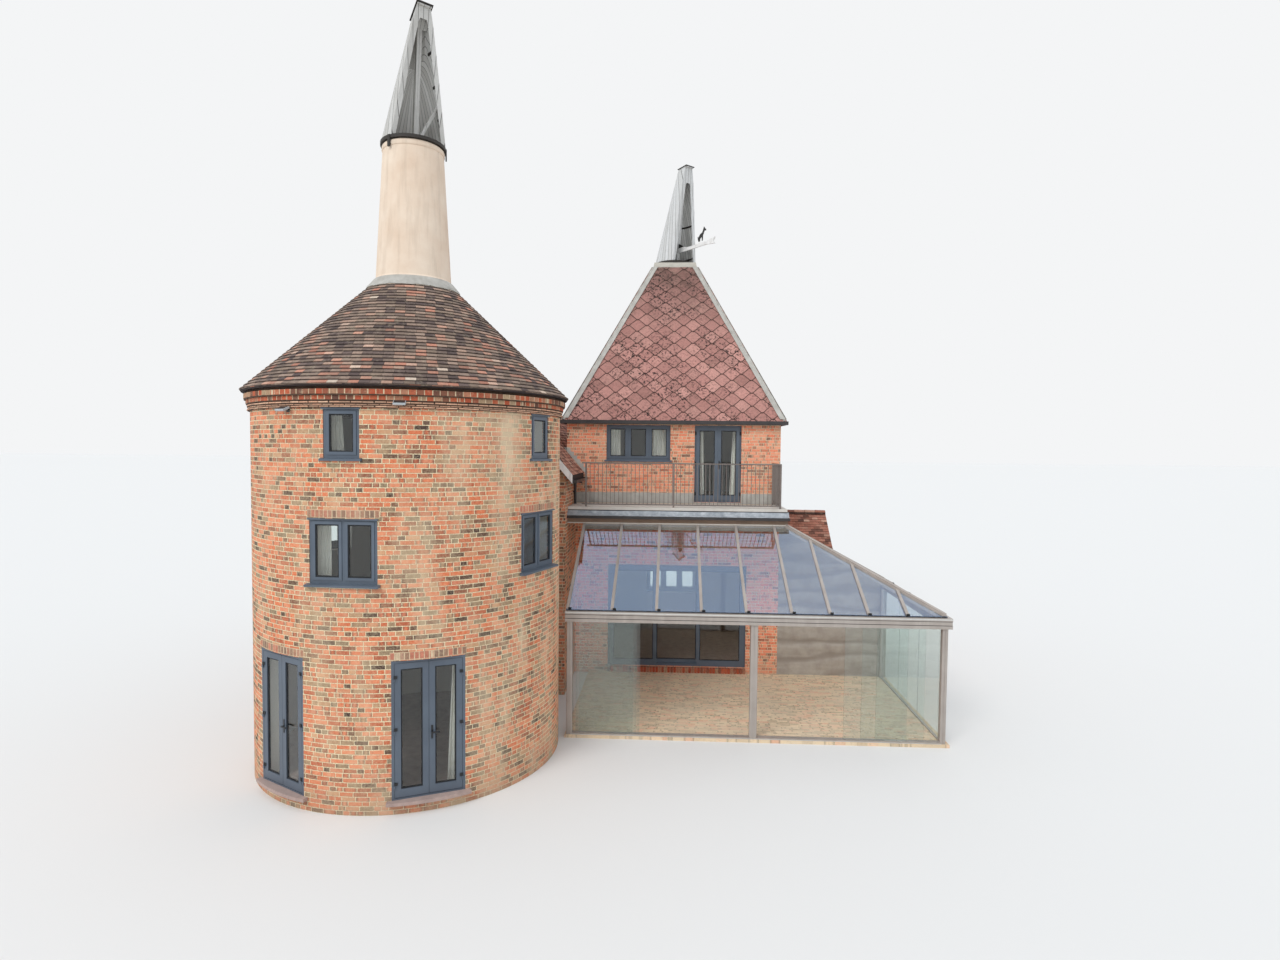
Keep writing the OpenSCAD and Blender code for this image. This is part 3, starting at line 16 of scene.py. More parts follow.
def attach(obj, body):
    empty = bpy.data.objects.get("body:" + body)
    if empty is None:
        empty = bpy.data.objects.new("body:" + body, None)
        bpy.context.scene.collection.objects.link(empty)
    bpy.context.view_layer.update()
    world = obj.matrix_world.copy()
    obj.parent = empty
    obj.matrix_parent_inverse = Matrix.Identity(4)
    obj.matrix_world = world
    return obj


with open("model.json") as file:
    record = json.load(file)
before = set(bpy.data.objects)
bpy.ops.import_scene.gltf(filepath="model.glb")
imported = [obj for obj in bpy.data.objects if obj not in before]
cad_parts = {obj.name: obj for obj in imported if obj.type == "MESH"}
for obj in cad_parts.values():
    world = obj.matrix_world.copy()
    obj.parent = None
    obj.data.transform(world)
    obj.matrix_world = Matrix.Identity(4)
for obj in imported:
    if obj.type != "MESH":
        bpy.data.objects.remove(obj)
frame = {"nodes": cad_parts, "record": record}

LOG = logging.getLogger("oast")
PHOTO_WIDTH_PX = 1280
MM = 0.001
# How many radians a wave texture swings over a metre at a scale of 1.
WAVE_RADIANS = 20

Point = Sequence[float]
Feed = Any


# Node graphs.


def linear(hex_code: str) -> tuple[float, float, float, float]:
    """Turns an sRGB hex colour into Blender's linear values.

    Args:
        hex_code: the colour, such as "#c9795a".

    Returns:
        Linear red, green, blue and an alpha of 1.
    """
    parts = [int(hex_code[i:i + 2], 16) / 255 for i in (1, 3, 5)]
    return (*(p / 12.92 if p <= 0.04045 else ((p + 0.055) / 1.055) ** 2.4 for p in parts), 1.0)


class Tree:
    """A node tree under way."""

    def __init__(self, tree: bpy.types.NodeTree) -> None:
        """Takes up a node tree."""
        self.tree = tree

    def add(self, kind: str, *feeds: Feed, out: int | str = 0, stops: Sequence[tuple[float, str]] = (),
            **settings: Any) -> bpy.types.NodeSocket:
        """Adds a node with its settings and feeds its sockets.

        Args:
            kind: the node's type without its "ShaderNode".
            feeds: values or sockets for the inputs in order; None skips one, a dict names sockets.
            out: the output to return.
            stops: places and hex colours of a colour ramp.
            settings: the node's own properties.

        Returns:
            The chosen output socket.
        """
        node = self.tree.nodes.new("ShaderNode" + kind)
        for key, value in settings.items():
            setattr(node, key, value)
        if stops:
            ramp = node.color_ramp
            while len(ramp.elements) < len(stops):
                ramp.elements.new(1.0)
            for element, (place, colour) in zip(ramp.elements, stops):
                element.position = place
                element.color = linear(colour)
        named: dict[int | str, Feed] = {}
        for index, feed in enumerate(feeds):
            if isinstance(feed, dict):
                named.update(feed)
            elif feed is not None:
                named[index] = feed
        for key, feed in named.items():
            self.feed(node.inputs[key], feed)
        return node.outputs[out]

    def feed(self, socket: bpy.types.NodeSocket, feed: Feed) -> None:
        """Links a socket, or sets its value.

        Args:
            socket: the input.
            feed: another node's output, a number, a vector or a hex colour.
        """
        if isinstance(feed, bpy.types.NodeSocket):
            self.tree.links.new(feed, socket)
        elif isinstance(feed, str):
            socket.default_value = linear(feed)
        else:
            socket.default_value = feed


class Graph(Tree):
    """The node tree of one finish."""

    def __init__(self, name: str) -> None:
        """Starts a material with its Principled shader.

        Args:
            name: the material's name.
        """
        self.material = bpy.data.materials.new(name)
        self.material.use_nodes = True
        super().__init__(self.material.node_tree)
        self.shader = self.tree.nodes["Principled BSDF"]

    def tinted(self, colour: Feed, other: Feed, pattern: Feed, low: float, high: float,
               most: float) -> bpy.types.NodeSocket:
        """Lays a second colour over a first one where a pattern is strong.

        Args:
            colour: the first colour.
            other: the second colour.
            pattern: the pattern's value.
            low: the value up to which only the first colour shows.
            high: the value from which the second one shows most.
            most: how much of the second one shows there.

        Returns:
            The colour of both.
        """
        share = self.add("MapRange", pattern, low, high, 0.0, most)
        return self.add("Mix", {0: share, 6: colour, 7: other}, out=2, data_type="RGBA")

    def shade(self, **inputs: Feed) -> bpy.types.Material:
        """Feeds the shader's own sockets, with underscores for the spaces in their names.

        Args:
            inputs: socket names and their feeds.

        Returns:
            The finished material.
        """
        for key, feed in inputs.items():
            self.feed(self.shader.inputs[key.replace("_", " ")], feed)
        return self.material


@dataclass(frozen=True)
class Finish:
    """What every finish has: its name, and the record's slot that it belongs to."""

    name: str
    slot: str

    def material(self) -> bpy.types.Material:
        """Returns the finish's material, made once."""
        found = bpy.data.materials.get(self.name)
        return found if found else self.build(Graph(self.name))

    def build(self, g: Graph) -> bpy.types.Material:
        """Draws the finish; each kind does its own."""
        raise NotImplementedError


class Course(Enum):
    """How a brick wall's courses run over it."""

    ROUND = "round"
    STRAIGHT = "straight"
    FLAT = "flat"


@dataclass(frozen=True)
class Brickwork(Finish):
    """Stock bricks in lime mortar: matt, each brick its own firing, with pale joints that catch the light."""

    run: Course = Course.STRAIGHT
    palette: tuple[tuple[float, str], ...] = ()
    joint: str = "#ead6b4"
    dirt: str = "#a8927a"
    bleach: str = "#c9ab96"
    bleached: float = 0.3
    # The bleaching grows from the first X to the second.
    fade: tuple[float, float] = (-30.0, 30.0)
    radius: float = 2.8
    unit_mm: float = 226.0
    course_mm: float = 75.5
    joint_mm: float = 11.0
    headers: float = 0.35
    centre: tuple[float, float] = (0.0, 0.0)
    half: tuple[float, float] = (2.75, 2.75)
    plaster: str = "#ebe6dc"
    burnt: str = "#4f423f"
    spot: str = "#5d4a44"
    # The mortar's grit is under 4 mm, and shows as crumbled edges drawn five times coarser.
    crumble_mm: float = 22.0
    bulge_mm: float = 500.0
    mottle_mm: float = 35.0
    spot_mm: float = 60.0
    # How far a course's joints wander from the course below, as a share of a brick.
    wander: float = 0.42
    splash_z: float = 0.7
    plaster_depth: float = 0.14

    def along(self, g: Graph, x: Feed, y: Feed) -> tuple[Feed, Feed]:
        """Finds the distance along the wall, and how deep in the building a point lies.

        Args:
            g: the graph.
            x: the point's X.
            y: the point's Y.

        Returns:
            The distance in metres, and the height over the outer face, which is negative inside it.
        """
        if self.run is Course.FLAT:
            return x, 0.0
        dx, dy = (g.add("Math", part, middle, operation="SUBTRACT")
                  for part, middle in zip((x, y), self.centre))
        if self.run is Course.ROUND:
            r = g.add("VectorMath", g.add("CombineXYZ", dx, dy), operation="LENGTH", out="Value")
            turn = g.add("Math", g.add("Math", y, x, operation="ARCTAN2"), self.radius, r,
                         operation="MULTIPLY_ADD")
            return turn, g.add("Math", r, self.radius, operation="SUBTRACT")
        outs = [g.add("Math", g.add("Math", part, operation="ABSOLUTE"), half, operation="SUBTRACT")
                for part, half in zip((dx, dy), self.half)]
        side = g.add("SeparateXYZ", g.add("VectorMath", g.add("NewGeometry", out="True Normal"),
                                          operation="ABSOLUTE"))
        faces_x = g.add("Math", side, side.node.outputs[1], operation="GREATER_THAN")
        along = g.add("Mix", {0: faces_x, 2: x, 3: y}, data_type="FLOAT")
        return along, g.add("Math", *outs, operation="MAXIMUM")

    def build(self, g: Graph) -> bpy.types.Material:
        """Draws courses, headers, joints, firing marks, bleaching and the plaster inside.

        Args:
            g: the material's graph.

        Returns:
            The finished material.
        """
        unit, course, joint = self.unit_mm * MM, self.course_mm * MM, self.joint_mm * MM
        place = g.add("TexCoord", out="Object")
        x = g.add("SeparateXYZ", place)
        y, z = x.node.outputs[1], x.node.outputs[2]
        along, depth = self.along(g, x, y)
        rows = g.add("Math", y if self.run is Course.FLAT else z, course, operation="DIVIDE")
        row = g.add("Math", rows, operation="FLOOR")
        slip = g.add("TexWhiteNoise", {"W": row}, noise_dimensions="1D", out="Value")
        half = g.add("Math", row, 2.0, operation="MODULO")
        shift = g.add("Math", half, 0.5, g.add("Math", slip, self.wander, operation="MULTIPLY"),
                      operation="MULTIPLY_ADD")
        units = g.add("Math", along, 1.0 / unit, shift, operation="MULTIPLY_ADD")
        cell = g.add("Math", units, operation="FLOOR")
        within = g.add("Math", units, operation="FRACT")
        lot = g.add("TexWhiteNoise", g.add("CombineXYZ", cell, row), noise_dimensions="2D", out="Value")
        header = g.add("Math", lot, self.headers, operation="LESS_THAN")
        doubled = g.add("Math", within, 2.0, operation="MULTIPLY")
        second = g.add("Math", g.add("Math", doubled, operation="FLOOR"), header, operation="MULTIPLY")
        split = g.add("Math", doubled, operation="FRACT")
        ends: list[Feed] = []
        up = g.add("Math", rows, operation="FRACT")
        for part, width in ((within, unit), (split, unit / 2), (up, course)):
            far = g.add("Math", 1.0, part, operation="SUBTRACT")
            ends.append(g.add("Math", g.add("Math", part, far, operation="MINIMUM"), width,
                              operation="MULTIPLY"))
        to_end = g.add("Mix", {0: header, 2: ends[0], 3: ends[1]}, data_type="FLOAT")
        to_edge = g.add("Math", to_end, ends[2], operation="MINIMUM")
        rough_edge = g.add("TexNoise", place,
                           {"Scale": 1000 / self.crumble_mm, "Detail": 3.0, "Roughness": 0.65})
        loose = g.add("TexNoise", place, {"Scale": 1000 / self.bulge_mm, "Detail": 2.0})
        wobble = g.add("Math", rough_edge, 0.010, g.add("Math", loose, 0.006, operation="MULTIPLY"),
                       operation="MULTIPLY_ADD")
        edge = g.add("Math", to_edge, g.add("Math", wobble, 0.008, operation="SUBTRACT"), operation="ADD")
        brick = g.add("MapRange", edge, joint / 2 - 0.002, joint / 2 + 0.003, interpolation_type="SMOOTHSTEP")
        own = g.add("Math", second, 0.37, cell, operation="MULTIPLY_ADD")
        firing = g.add("TexWhiteNoise", g.add("CombineXYZ", own, row, 5.0), noise_dimensions="3D",
                       out="Color")
        tones = g.add("SeparateColor", firing)
        body = g.add("ValToRGB", tones, stops=self.palette)
        burnt = g.add("MapRange", to_end, 0.055, 0.0, 0.0, 0.75)
        burnt = g.add("Math", burnt, g.add("Math", tones.node.outputs[1], 0.66, operation="GREATER_THAN"),
                      operation="MULTIPLY")
        body = g.add("Mix", {0: burnt, 6: body, 7: self.burnt}, out=2, data_type="RGBA")
        mottle = g.add("TexNoise", place, {"Scale": 1000 / self.mottle_mm, "Detail": 4.0, "Roughness": 0.7})
        body = g.tinted(body, self.joint, mottle, 0.42, 0.78, 0.36)
        spots = g.add("TexNoise", place, {"Scale": 1000 / self.spot_mm, "Detail": 5.0, "Roughness": 0.8})
        body = g.tinted(body, self.spot, spots, 0.52, 0.72, 0.4)
        mortar = g.tinted(self.joint, self.dirt, rough_edge, 0.45, 0.75, 0.8)
        face = g.add("Mix", {0: brick, 6: mortar, 7: body}, out=2, data_type="RGBA")
        streak = g.add("TexNoise", g.add("VectorMath", place, (1.6, 1.6, 0.45), operation="MULTIPLY"),
                       {"Scale": 1.0, "Detail": 5.0, "Roughness": 0.62})
        pale = g.add("Math", g.add("MapRange", streak, 0.44, 0.72, 0.0, self.bleached),
                     g.add("MapRange", x, *self.fade, 0.25, 1.75), operation="MULTIPLY")
        splash = g.add("Math", g.add("MapRange", z, self.splash_z, 0.0, 0.0, 0.8), streak,
                       operation="MULTIPLY")
        inside = g.add("Math", depth, -self.plaster_depth, operation="LESS_THAN")
        for share, colour in ((pale, self.bleach), (splash, self.dirt), (inside, self.plaster)):
            face = g.add("Mix", {0: share, 6: face, 7: colour}, out=2, data_type="RGBA")
        relief = g.add("Math", brick, g.add("Math", mottle, 0.35, operation="MULTIPLY"), operation="ADD")
        relief = g.add("Mix", {0: inside, 2: relief, 3: 0.5}, data_type="FLOAT")
        bump = g.add("Bump", 0.8, 0.008, {"Height": relief})
        return g.shade(Base_Color=face, Roughness=0.9, Normal=bump, Specular_IOR_Level=0.25)


@dataclass(frozen=True)
class FiredClay(Finish):
    """Hand-made clay tiles or loose bricks: matt, each piece its own firing, stained and with lichen, with
    painted shade on its marked lower edges.
    """

    palette: tuple[tuple[float, str], ...] = ()
    stain: str = "#3c3230"
    stained: float = 0.5
    lichen: str = "#b9ab8f"
    lichened: float = 0.25
    # The colour and strength of the painted shade on each piece's marked lower edges, which on the cone also
    # stands for dirt under the next tail; the frost pits share the colour.
    edge: str = "#2b2322"
    edge_shade_and_dirt: float = 0.9
    grain_mm: float = 30.0
    # Lichen spots and frost pits are 5 to 20 mm across, and are drawn coarser so that they show.
    patch_mm: float = 769.23
    lichen_mm: float = 111.11
    pit_mm: float = 66.67
    pitted_area_mm: float = 833.3
    # Soot thickens from the first height to the second; two zeros leave it out.
    soot: tuple[float, float] = (0.0, 0.0)
    pitted: float = 0.0
    roughness: float = 0.85

    def build(self, g: Graph) -> bpy.types.Material:
        """Colours each piece by its own firing number, darkens its marked lower edges as painted shade, then
        stains it.

        Args:
            g: the material's graph.

        Returns:
            The finished material.
        """
        place = g.add("TexCoord", out="Object")
        tones = g.add("SeparateColor", g.add("Attribute", attribute_name="firing", out="Color"))
        body = g.add("ValToRGB", tones, stops=self.palette)
        # Painted shade on the lower half of each piece and, on the cone, on the strip under the next tail,
        # which also stands for dirt.
        body = g.tinted(body, self.edge, tones.node.outputs[2], 0.15, 0.6, self.edge_shade_and_dirt)
        fine = g.add("TexNoise", place, {"Scale": 1000 / self.grain_mm, "Detail": 5.0, "Roughness": 0.7})
        patch = g.add("TexNoise", place, {"Scale": 1000 / self.patch_mm, "Detail": 6.0, "Roughness": 0.6})
        own = g.add("Math", tones.node.outputs[1], 0.35, g.add("Math", patch, 0.75, operation="MULTIPLY"),
                    operation="MULTIPLY_ADD")
        sooty = g.add("MapRange", own, 0.42, 0.8, 0.0, self.stained)
        if self.soot[1]:
            high = g.add("MapRange", g.add("SeparateXYZ", place, out=2), *self.soot, 0.0, 1.1)
            sooty = g.add("Math", g.add("Math", high, g.add("MapRange", patch, 0.3, 0.7, 0.3, 1.0),
                                        operation="MULTIPLY"), sooty, operation="MAXIMUM")
        body = g.add("Mix", {0: sooty, 6: body, 7: self.stain}, out=2, data_type="RGBA")
        body = g.tinted(body, self.stain, fine, 0.4, 0.72, 0.4)
        spots = g.add("TexNoise", g.add("VectorMath", place, (7.3, 1.1, 3.7), operation="ADD"),
                      {"Scale": 1000 / self.lichen_mm, "Detail": 6.0, "Roughness": 0.75})
        body = g.tinted(body, self.lichen, spots, 0.54, 0.68, self.lichened)
        if self.pitted:
            grains = g.add("TexNoise", place, {"Scale": 1000 / self.pit_mm, "Detail": 4.0, "Roughness": 0.75})
            where = g.add("TexNoise", g.add("VectorMath", place, (3.1, 8.7, 5.2), operation="ADD"),
                          {"Scale": 1000 / self.pitted_area_mm, "Detail": 3.0, "Roughness": 0.6})
            pits = g.add("Math", g.add("MapRange", grains, 0.53, 0.58, 0.0, 1.0),
                         g.add("MapRange", where, 0.42, 0.56, 0.1, self.pitted), operation="MULTIPLY")
            body = g.add("Mix", {0: pits, 6: body, 7: self.edge}, out=2, data_type="RGBA")
        bump = g.add("Bump", 0.5, 0.003, {"Height": fine})
        return g.shade(Base_Color=body, Roughness=self.roughness, Normal=bump, Specular_IOR_Level=0.3)


@dataclass(frozen=True)
class Coated(Finish):
    """A painted, cast, rendered or sheet surface: one base colour with mottling, streaks and a fine grain."""

    base: str = "#888888"
    second: str = "#777777"
    # The grain stands for grit, weave or peel that is often finer than a millimetre, and is drawn
    # as coarse as it needs to show.
    grain_mm: float = 4.0
    mottle_mm: float = 300.0
    mixed: float = 0.5
    streaks: str = ""
    streaked: float = 0.3
    relief_mm: float = 0.5
    roughness: tuple[float, float] = (0.4, 0.6)
    metallic: float = 0.0
    # The level waves of a combed surface, in millimetres to a radian of their swing, their hollows darkened as
    # painted shade; 0 leaves it plain.
    waves_mm: float = 0.0
    # What lies further than the limit along this direction is black, such as hinges on a painted door.
    beyond: tuple[float, float, float] = (0.0, 0.0, 0.0)
    limit: float = 0.0
    black: str = "#202123"

    def build(self, g: Graph) -> bpy.types.Material:
        """Mixes the two colours by noise, streaks them downwards, and varies the gloss.

        Args:
            g: the material's graph.

        Returns:
            The finished material.
        """
        place = g.add("TexCoord", out="Object")
        blotch = g.add("TexNoise", place, {"Scale": 1000 / self.mottle_mm, "Detail": 5.0, "Roughness": 0.62})
        colour = g.tinted(self.base, self.second, blotch, 0.35, 0.68, self.mixed)
        if self.streaks:
            fall = g.add("TexNoise", g.add("VectorMath", place, (9.0, 9.0, 0.8), operation="MULTIPLY"),
                         {"Scale": 1.0, "Detail": 5.0, "Roughness": 0.6})
            colour = g.tinted(colour, self.streaks, fall, 0.48, 0.72, self.streaked)
        grain = g.add("TexNoise", place, {"Scale": 1000 / self.grain_mm, "Detail": 4.0, "Roughness": 0.6})
        gloss = g.add("MapRange", g.add("Math", grain, blotch, operation="MULTIPLY"), 0.12, 0.42,
                      *self.roughness)
        height = grain
        if self.waves_mm:
            swell = g.add("TexWave", g.add("VectorMath", place, (0.25, 0.25, 1.0), operation="MULTIPLY"),
                          {"Scale": 1000 / self.waves_mm / WAVE_RADIANS, "Distortion": 9.0, "Detail": 3.0,
                           "Detail Scale": 1.6}, out=1, bands_direction="Z")
            height = g.add("Math", swell, 6.0, grain, operation="MULTIPLY_ADD")
            # The hollows of the waves take the second colour, as painted shade.
            colour = g.add("Mix", {0: g.add("MapRange", swell, 0.0, 0.45, 0.6, 0.0), 6: colour,
                                   7: self.second}, out=2, data_type="RGBA")
        if any(self.beyond):
            reach = g.add("VectorMath", place, self.beyond, operation="DOT_PRODUCT", out="Value")
            colour = g.add("Mix", {0: g.add("Math", reach, self.limit, operation="GREATER_THAN"), 6: colour,
                                   7: self.black}, out=2, data_type="RGBA")
        bump = g.add("Bump", 0.6, self.relief_mm * MM, {"Height": height})
        return g.shade(Base_Color=colour, Roughness=gloss, Normal=bump, Metallic=self.metallic)


@dataclass(frozen=True)
class Boards(Finish):
    """Sawn or painted softwood: long grain, silvered by weather, with dark board joints."""

    base: str = "#a9a7a2"
    second: str = "#7f7b75"
    dark: str = "#4d4a47"
    axis: int = 2
    grain_mm: float = 6.0
    drawn_out: float = 26.0
    board_mm: float = 0.0
    cowl_r: float = 0.6
    centre: tuple[float, float] = (0.0, 0.0)
    worn: float = 0.6
    cloud_mm: float = 454.55
    # The colour of the faces turned inwards: painted light in the cowl's shade.
    inside_painted_light: str = "#f2f1ed"

    def build(self, g: Graph) -> bpy.types.Material:
        """Draws grain along one axis, and board joints around a centre where they are asked for, with the faces
        turned inwards there painted pale as painted light.

        Args:
            g: the material's graph.

        Returns:
            The finished material.
        """
        place = g.add("TexCoord", out="Object")
        stretch = [1000 / self.grain_mm] * 3
        stretch[self.axis] /= self.drawn_out
        grain = g.add("TexNoise", g.add("VectorMath", place, tuple(stretch), operation="MULTIPLY"),
                      {"Scale": 1.0, "Detail": 6.0, "Roughness": 0.65, "Distortion": 0.4})
        cloud = g.add("TexNoise", place, {"Scale": 1000 / self.cloud_mm, "Detail": 4.0})
        colour = g.tinted(self.base, self.second, grain, 0.35, 0.65, self.worn)
        colour = g.tinted(colour, self.second, cloud, 0.5, 0.75, 0.5)
        height = grain
        if self.board_mm:
            x = g.add("SeparateXYZ", place)
            y = x.node.outputs[1]
            turn = g.add("Math", g.add("Math", y, self.centre[1], operation="SUBTRACT"),
                         g.add("Math", x, self.centre[0], operation="SUBTRACT"), operation="ARCTAN2")
            # Faces turned inwards are painted pale, as painted light in the cowl's shade.
            away = g.add("VectorMath", g.add("VectorMath", place, (*self.centre, 0.0), operation="SUBTRACT"),
                         (1.0, 1.0, 0.0), operation="MULTIPLY")
            facing = g.add("VectorMath", away, g.add("NewGeometry", out="True Normal"),
                           operation="DOT_PRODUCT", out="Value")
            inside = g.add("Math", g.add("Math", facing, 0.0, operation="LESS_THAN"), 0.85,
                           operation="MULTIPLY")
            colour = g.add("Mix", {0: inside, 6: colour, 7: self.inside_painted_light}, out=2, data_type="RGBA")
            boards = g.add("Math", turn, self.cowl_r / (self.board_mm * MM), operation="MULTIPLY")
            within = g.add("Math", boards, operation="FRACT")
            own = g.add("TexWhiteNoise", {"W": g.add("Math", boards, operation="FLOOR")},
                        noise_dimensions="1D", out="Value")
            colour = g.add("Mix", {0: g.add("Math", own, 0.5, operation="MULTIPLY"), 6: colour,
                                   7: self.second}, out=2, data_type="RGBA")
            gap = g.add("MapRange", g.add("Math", g.add("Math", within, 0.5, operation="SUBTRACT"),
                                          operation="ABSOLUTE"), 0.45, 0.475, 0.0, 1.0)
            colour = g.add("Mix", {0: gap, 6: colour, 7: self.dark}, out=2, data_type="RGBA")
            height = g.add("Math", grain, g.add("Math", gap, 2.5, operation="MULTIPLY"), operation="SUBTRACT")
        bump = g.add("Bump", 0.5, 0.002, {"Height": height})
        return g.shade(Base_Color=colour, Roughness=0.8, Normal=bump, Specular_IOR_Level=0.3)


PLAIN_TINT = "#eef4f2"


@dataclass(frozen=True)
class FloatGlass(Finish):
    """Float glass: clear, faintly green in its thickness, with dust that dulls it in patches."""

    tint: str = PLAIN_TINT
    density: float = 1.5
    clear: float = 0.85
    dust_mm: float = 333.33
    coating_and_painted_sky: str = "#ffffff"
    coated_over: float = 1000.0

    def build(self, g: Graph) -> bpy.types.Material:
        """Sets clear glass whose gloss varies with dust, its reflections tinted over a height, partly by a
        coating and partly as a painted reflection of sky.

        Args:
            g: the material's graph.

        Returns:
            The finished material.
        """
        place = g.add("TexCoord", out="Object")
        dust = g.add("TexNoise", place, {"Scale": 1000 / self.dust_mm, "Detail": 6.0, "Roughness": 0.7})
        gloss = g.add("MapRange", dust, 0.4, 0.8, 0.0, 0.05)
        passing = g.add("Math", g.add("LightPath", out="Is Shadow Ray"),
                        g.add("LightPath", out="Is Diffuse Ray"), operation="MAXIMUM")
        height = g.add("SeparateXYZ", place, out=2)
        over = g.add("Math", height, self.coated_over, operation="GREATER_THAN")
        tint = g.add("Mix", {0: over, 6: PLAIN_TINT, 7: self.tint}, out=2, data_type="RGBA")
        # Over the height the reflections take a tint: partly a coating, partly a painted reflection of sky.
        shine = g.add("Mix", {0: over, 6: "#ffffff", 7: self.coating_and_painted_sky}, out=2, data_type="RGBA")
        bend = g.add("MapRange", over, 0.0, 1.0, 1.5, self.density)
        return g.shade(Base_Color=tint, Roughness=gloss, IOR=bend, Transmission_Weight=1.0,
                       Specular_Tint=shine, Alpha=g.add("Math", passing, -self.clear, 1.0,
                                                        operation="MULTIPLY_ADD"))


# The finishes, each named for its material.

# Clamp-burnt stock brick in wide lime joints: matt, mixed browns and oranges, paler to the right.
ROUNDEL_BRICK = Brickwork(
    "stock_brick_in_lime_mortar", "brick", run=Course.ROUND, bleached=0.42, fade=(-2.4, 2.6),
    joint="#f0deb6", bleach="#e5ceac",
    palette=((0.0, "#463530"), (0.09, "#7d5b48"), (0.2, "#b86244"), (0.38, "#d9734b"), (0.55, "#e18c67"),
             (0.7, "#cc7759"), (0.82, "#cf9771"), (0.92, "#a58466"), (1.0, "#8d7960")))
# The same stock brick on the stowage: matt, its courses straight and less bleached.
STOWAGE_BRICK = Brickwork(
    "stowage_stock_brick", "brick", palette=ROUNDEL_BRICK.palette, centre=(0.7, 6.65), half=(1.8, 3.65))
# Pressed facing brick: matt, an even orange pink in buff joints.
KILN_BRICK = Brickwork(
    "red_facing_brick", "kiln_brick", centre=(5.015, 7.55), joint="#f0dcb8", bleach="#e0bb9e", bleached=0.25,
    palette=((0.0, "#6a4338"), (0.08, "#bc6c52"), (0.25, "#ec7c58"), (0.5, "#f99674"), (0.8, "#f29e7b"),
             (1.0, "#d89878")))
# The kiln's facing brick again, set out about the wing.
WING_BRICK = replace(KILN_BRICK, name="wing_facing_brick", centre=(8.64, 8.3), half=(0.875, 1.8))
# Lime mortar struck flush: a chalky, sandy buff.
MORTAR = Coated(
    "lime_mortar", "brick", base="#d9c3a1", second="#a88c70", mottle_mm=90, mixed=0.6, relief_mm=1.5,
    roughness=(0.85, 0.95))
# Hand-moulded facing brick: matt red, each with worn edges, its sides darker deep in the joints as painted
# shade.
CORNICE_BRICK = FiredClay(
    "loose_red_brick", "brick", stained=0.2, lichened=0.3, lichen="#cdb493", edge_shade_and_dirt=0.5,
    palette=((0.0, "#6d4a3c"), (0.15, "#97624a"), (0.35, "#ba593b"), (0.65, "#c66745"), (0.82, "#be8567"),
             (1.0, "#b89d7c")))
# Stock brick set upright: matt, browner and more even than the wall, its sides darker deep in the joints as
# painted shade.
SOLDIER_BRICK = FiredClay(
    "upright_stock_brick", "brick", stained=0.15, lichened=0.3, lichen="#d8c0a0", edge_shade_and_dirt=0.3,
    palette=((0.0, "#8f7462"), (0.25, "#b08a70"), (0.5, "#cc8268"), (0.8, "#d48a70"), (1.0, "#c09a80")))
# Fired clay creasing tile: matt salmon with pale lichen, its sides darker deep in the wall as painted shade.
CREASING = FiredClay(
    "creasing_tile", "brick", stained=0.2, lichened=0.4, lichen="#dcc7ab", edge_shade_and_dirt=0.4,
    palette=((0.0, "#c09a80"), (0.5, "#e2ac8c"), (1.0, "#f0c6a6")))
# Lime mortar in a deep recess, coloured dark as painted shade, without gloss.
RECESS_MORTAR_PAINTED_SHADE = Coated(
    "recess_mortar_painted_shade", "brick", base="#5d4636", second="#33271f", mottle_mm=120, mixed=0.8, grain_mm=5,
    relief_mm=1.5, roughness=(0.9, 0.98))
# Hand-made plain clay tile, long weathered: matt grey brown, here and there a new orange one, dark under each
# tail with painted shade and dirt.
CONE_TILE = FiredClay(
    "plain_clay_tile", "clay_tile", lichened=0.3, lichen="#c4b59c",
    palette=((0.0, "#5a4d4a"), (0.2, "#7c6a62"), (0.45, "#94806f"), (0.66, "#a79080"), (0.8, "#b89985"),
             (0.9, "#cb8a72"), (0.97, "#dba990"), (1.0, "#efdcc6")))
# Painted shade under the tiles, drawn as fired clay: near black, so that gaps look deep.
UNDERTILE_PAINTED_SHADE = FiredClay(
    "tile_underlay_painted_shade", "clay_tile", stained=0.8, lichened=0.0, palette=((0.0, "#3a302e"), (1.0, "#463a37")))
# Machine-made plain clay tile: matt orange red, little stained, the lower half of its edges dark as painted
# shade.
RED_TILE = FiredClay(
    "orange_clay_tile", "clay_tile", stained=0.35,
    palette=((0.0, "#6a4a40"), (0.3, "#a06c58"), (0.6, "#b87b66"), (0.85, "#c48c76"), (1.0, "#d3ab94")))
# Club-cut clay tile: matt pink with dark pits, sooted towards the cowl, its rim and lower edges dark as painted
# shade.
PINK_TILE = FiredClay(
    "club_cut_clay_tile", "pink_tile", stained=0.3, stain="#57443c", lichened=0.15, grain_mm=45,
    soot=(8.4, 11.1), pitted=0.95,
    palette=((0.0, "#b58177"), (0.3, "#bf897f"), (0.7, "#c89287"), (1.0, "#d19c90")))
# Painted shade under the club tiles, drawn as fired clay: dark brown, so that gaps look deep.
PINK_UNDERLAY_PAINTED_SHADE = FiredClay(
    "club_tile_underlay_painted_shade", "pink_tile", stained=0.8, lichened=0.0,
    palette=((0.0, "#3c2725"), (1.0, "#4a312e")))
# Floated lime render: off-white, with soft clouds and rain streaks.
LIME_RENDER = Coated(
    "lime_render", "render", base="#ead8c3", second="#d6baa0", mottle_mm=900, mixed=0.7, streaks="#9c8873",
    streaked=0.25, grain_mm=7, relief_mm=1.5, roughness=(0.8, 0.95))
# Extruded aluminium, powder coated: satin slate grey with a faint orange peel.
JOINERY = Coated(
    "powder_coated_aluminium_anthracite", "joinery", base="#525c68", second="#636e7a", mottle_mm=500,
    grain_mm=2, relief_mm=0.1, roughness=(0.32, 0.5))
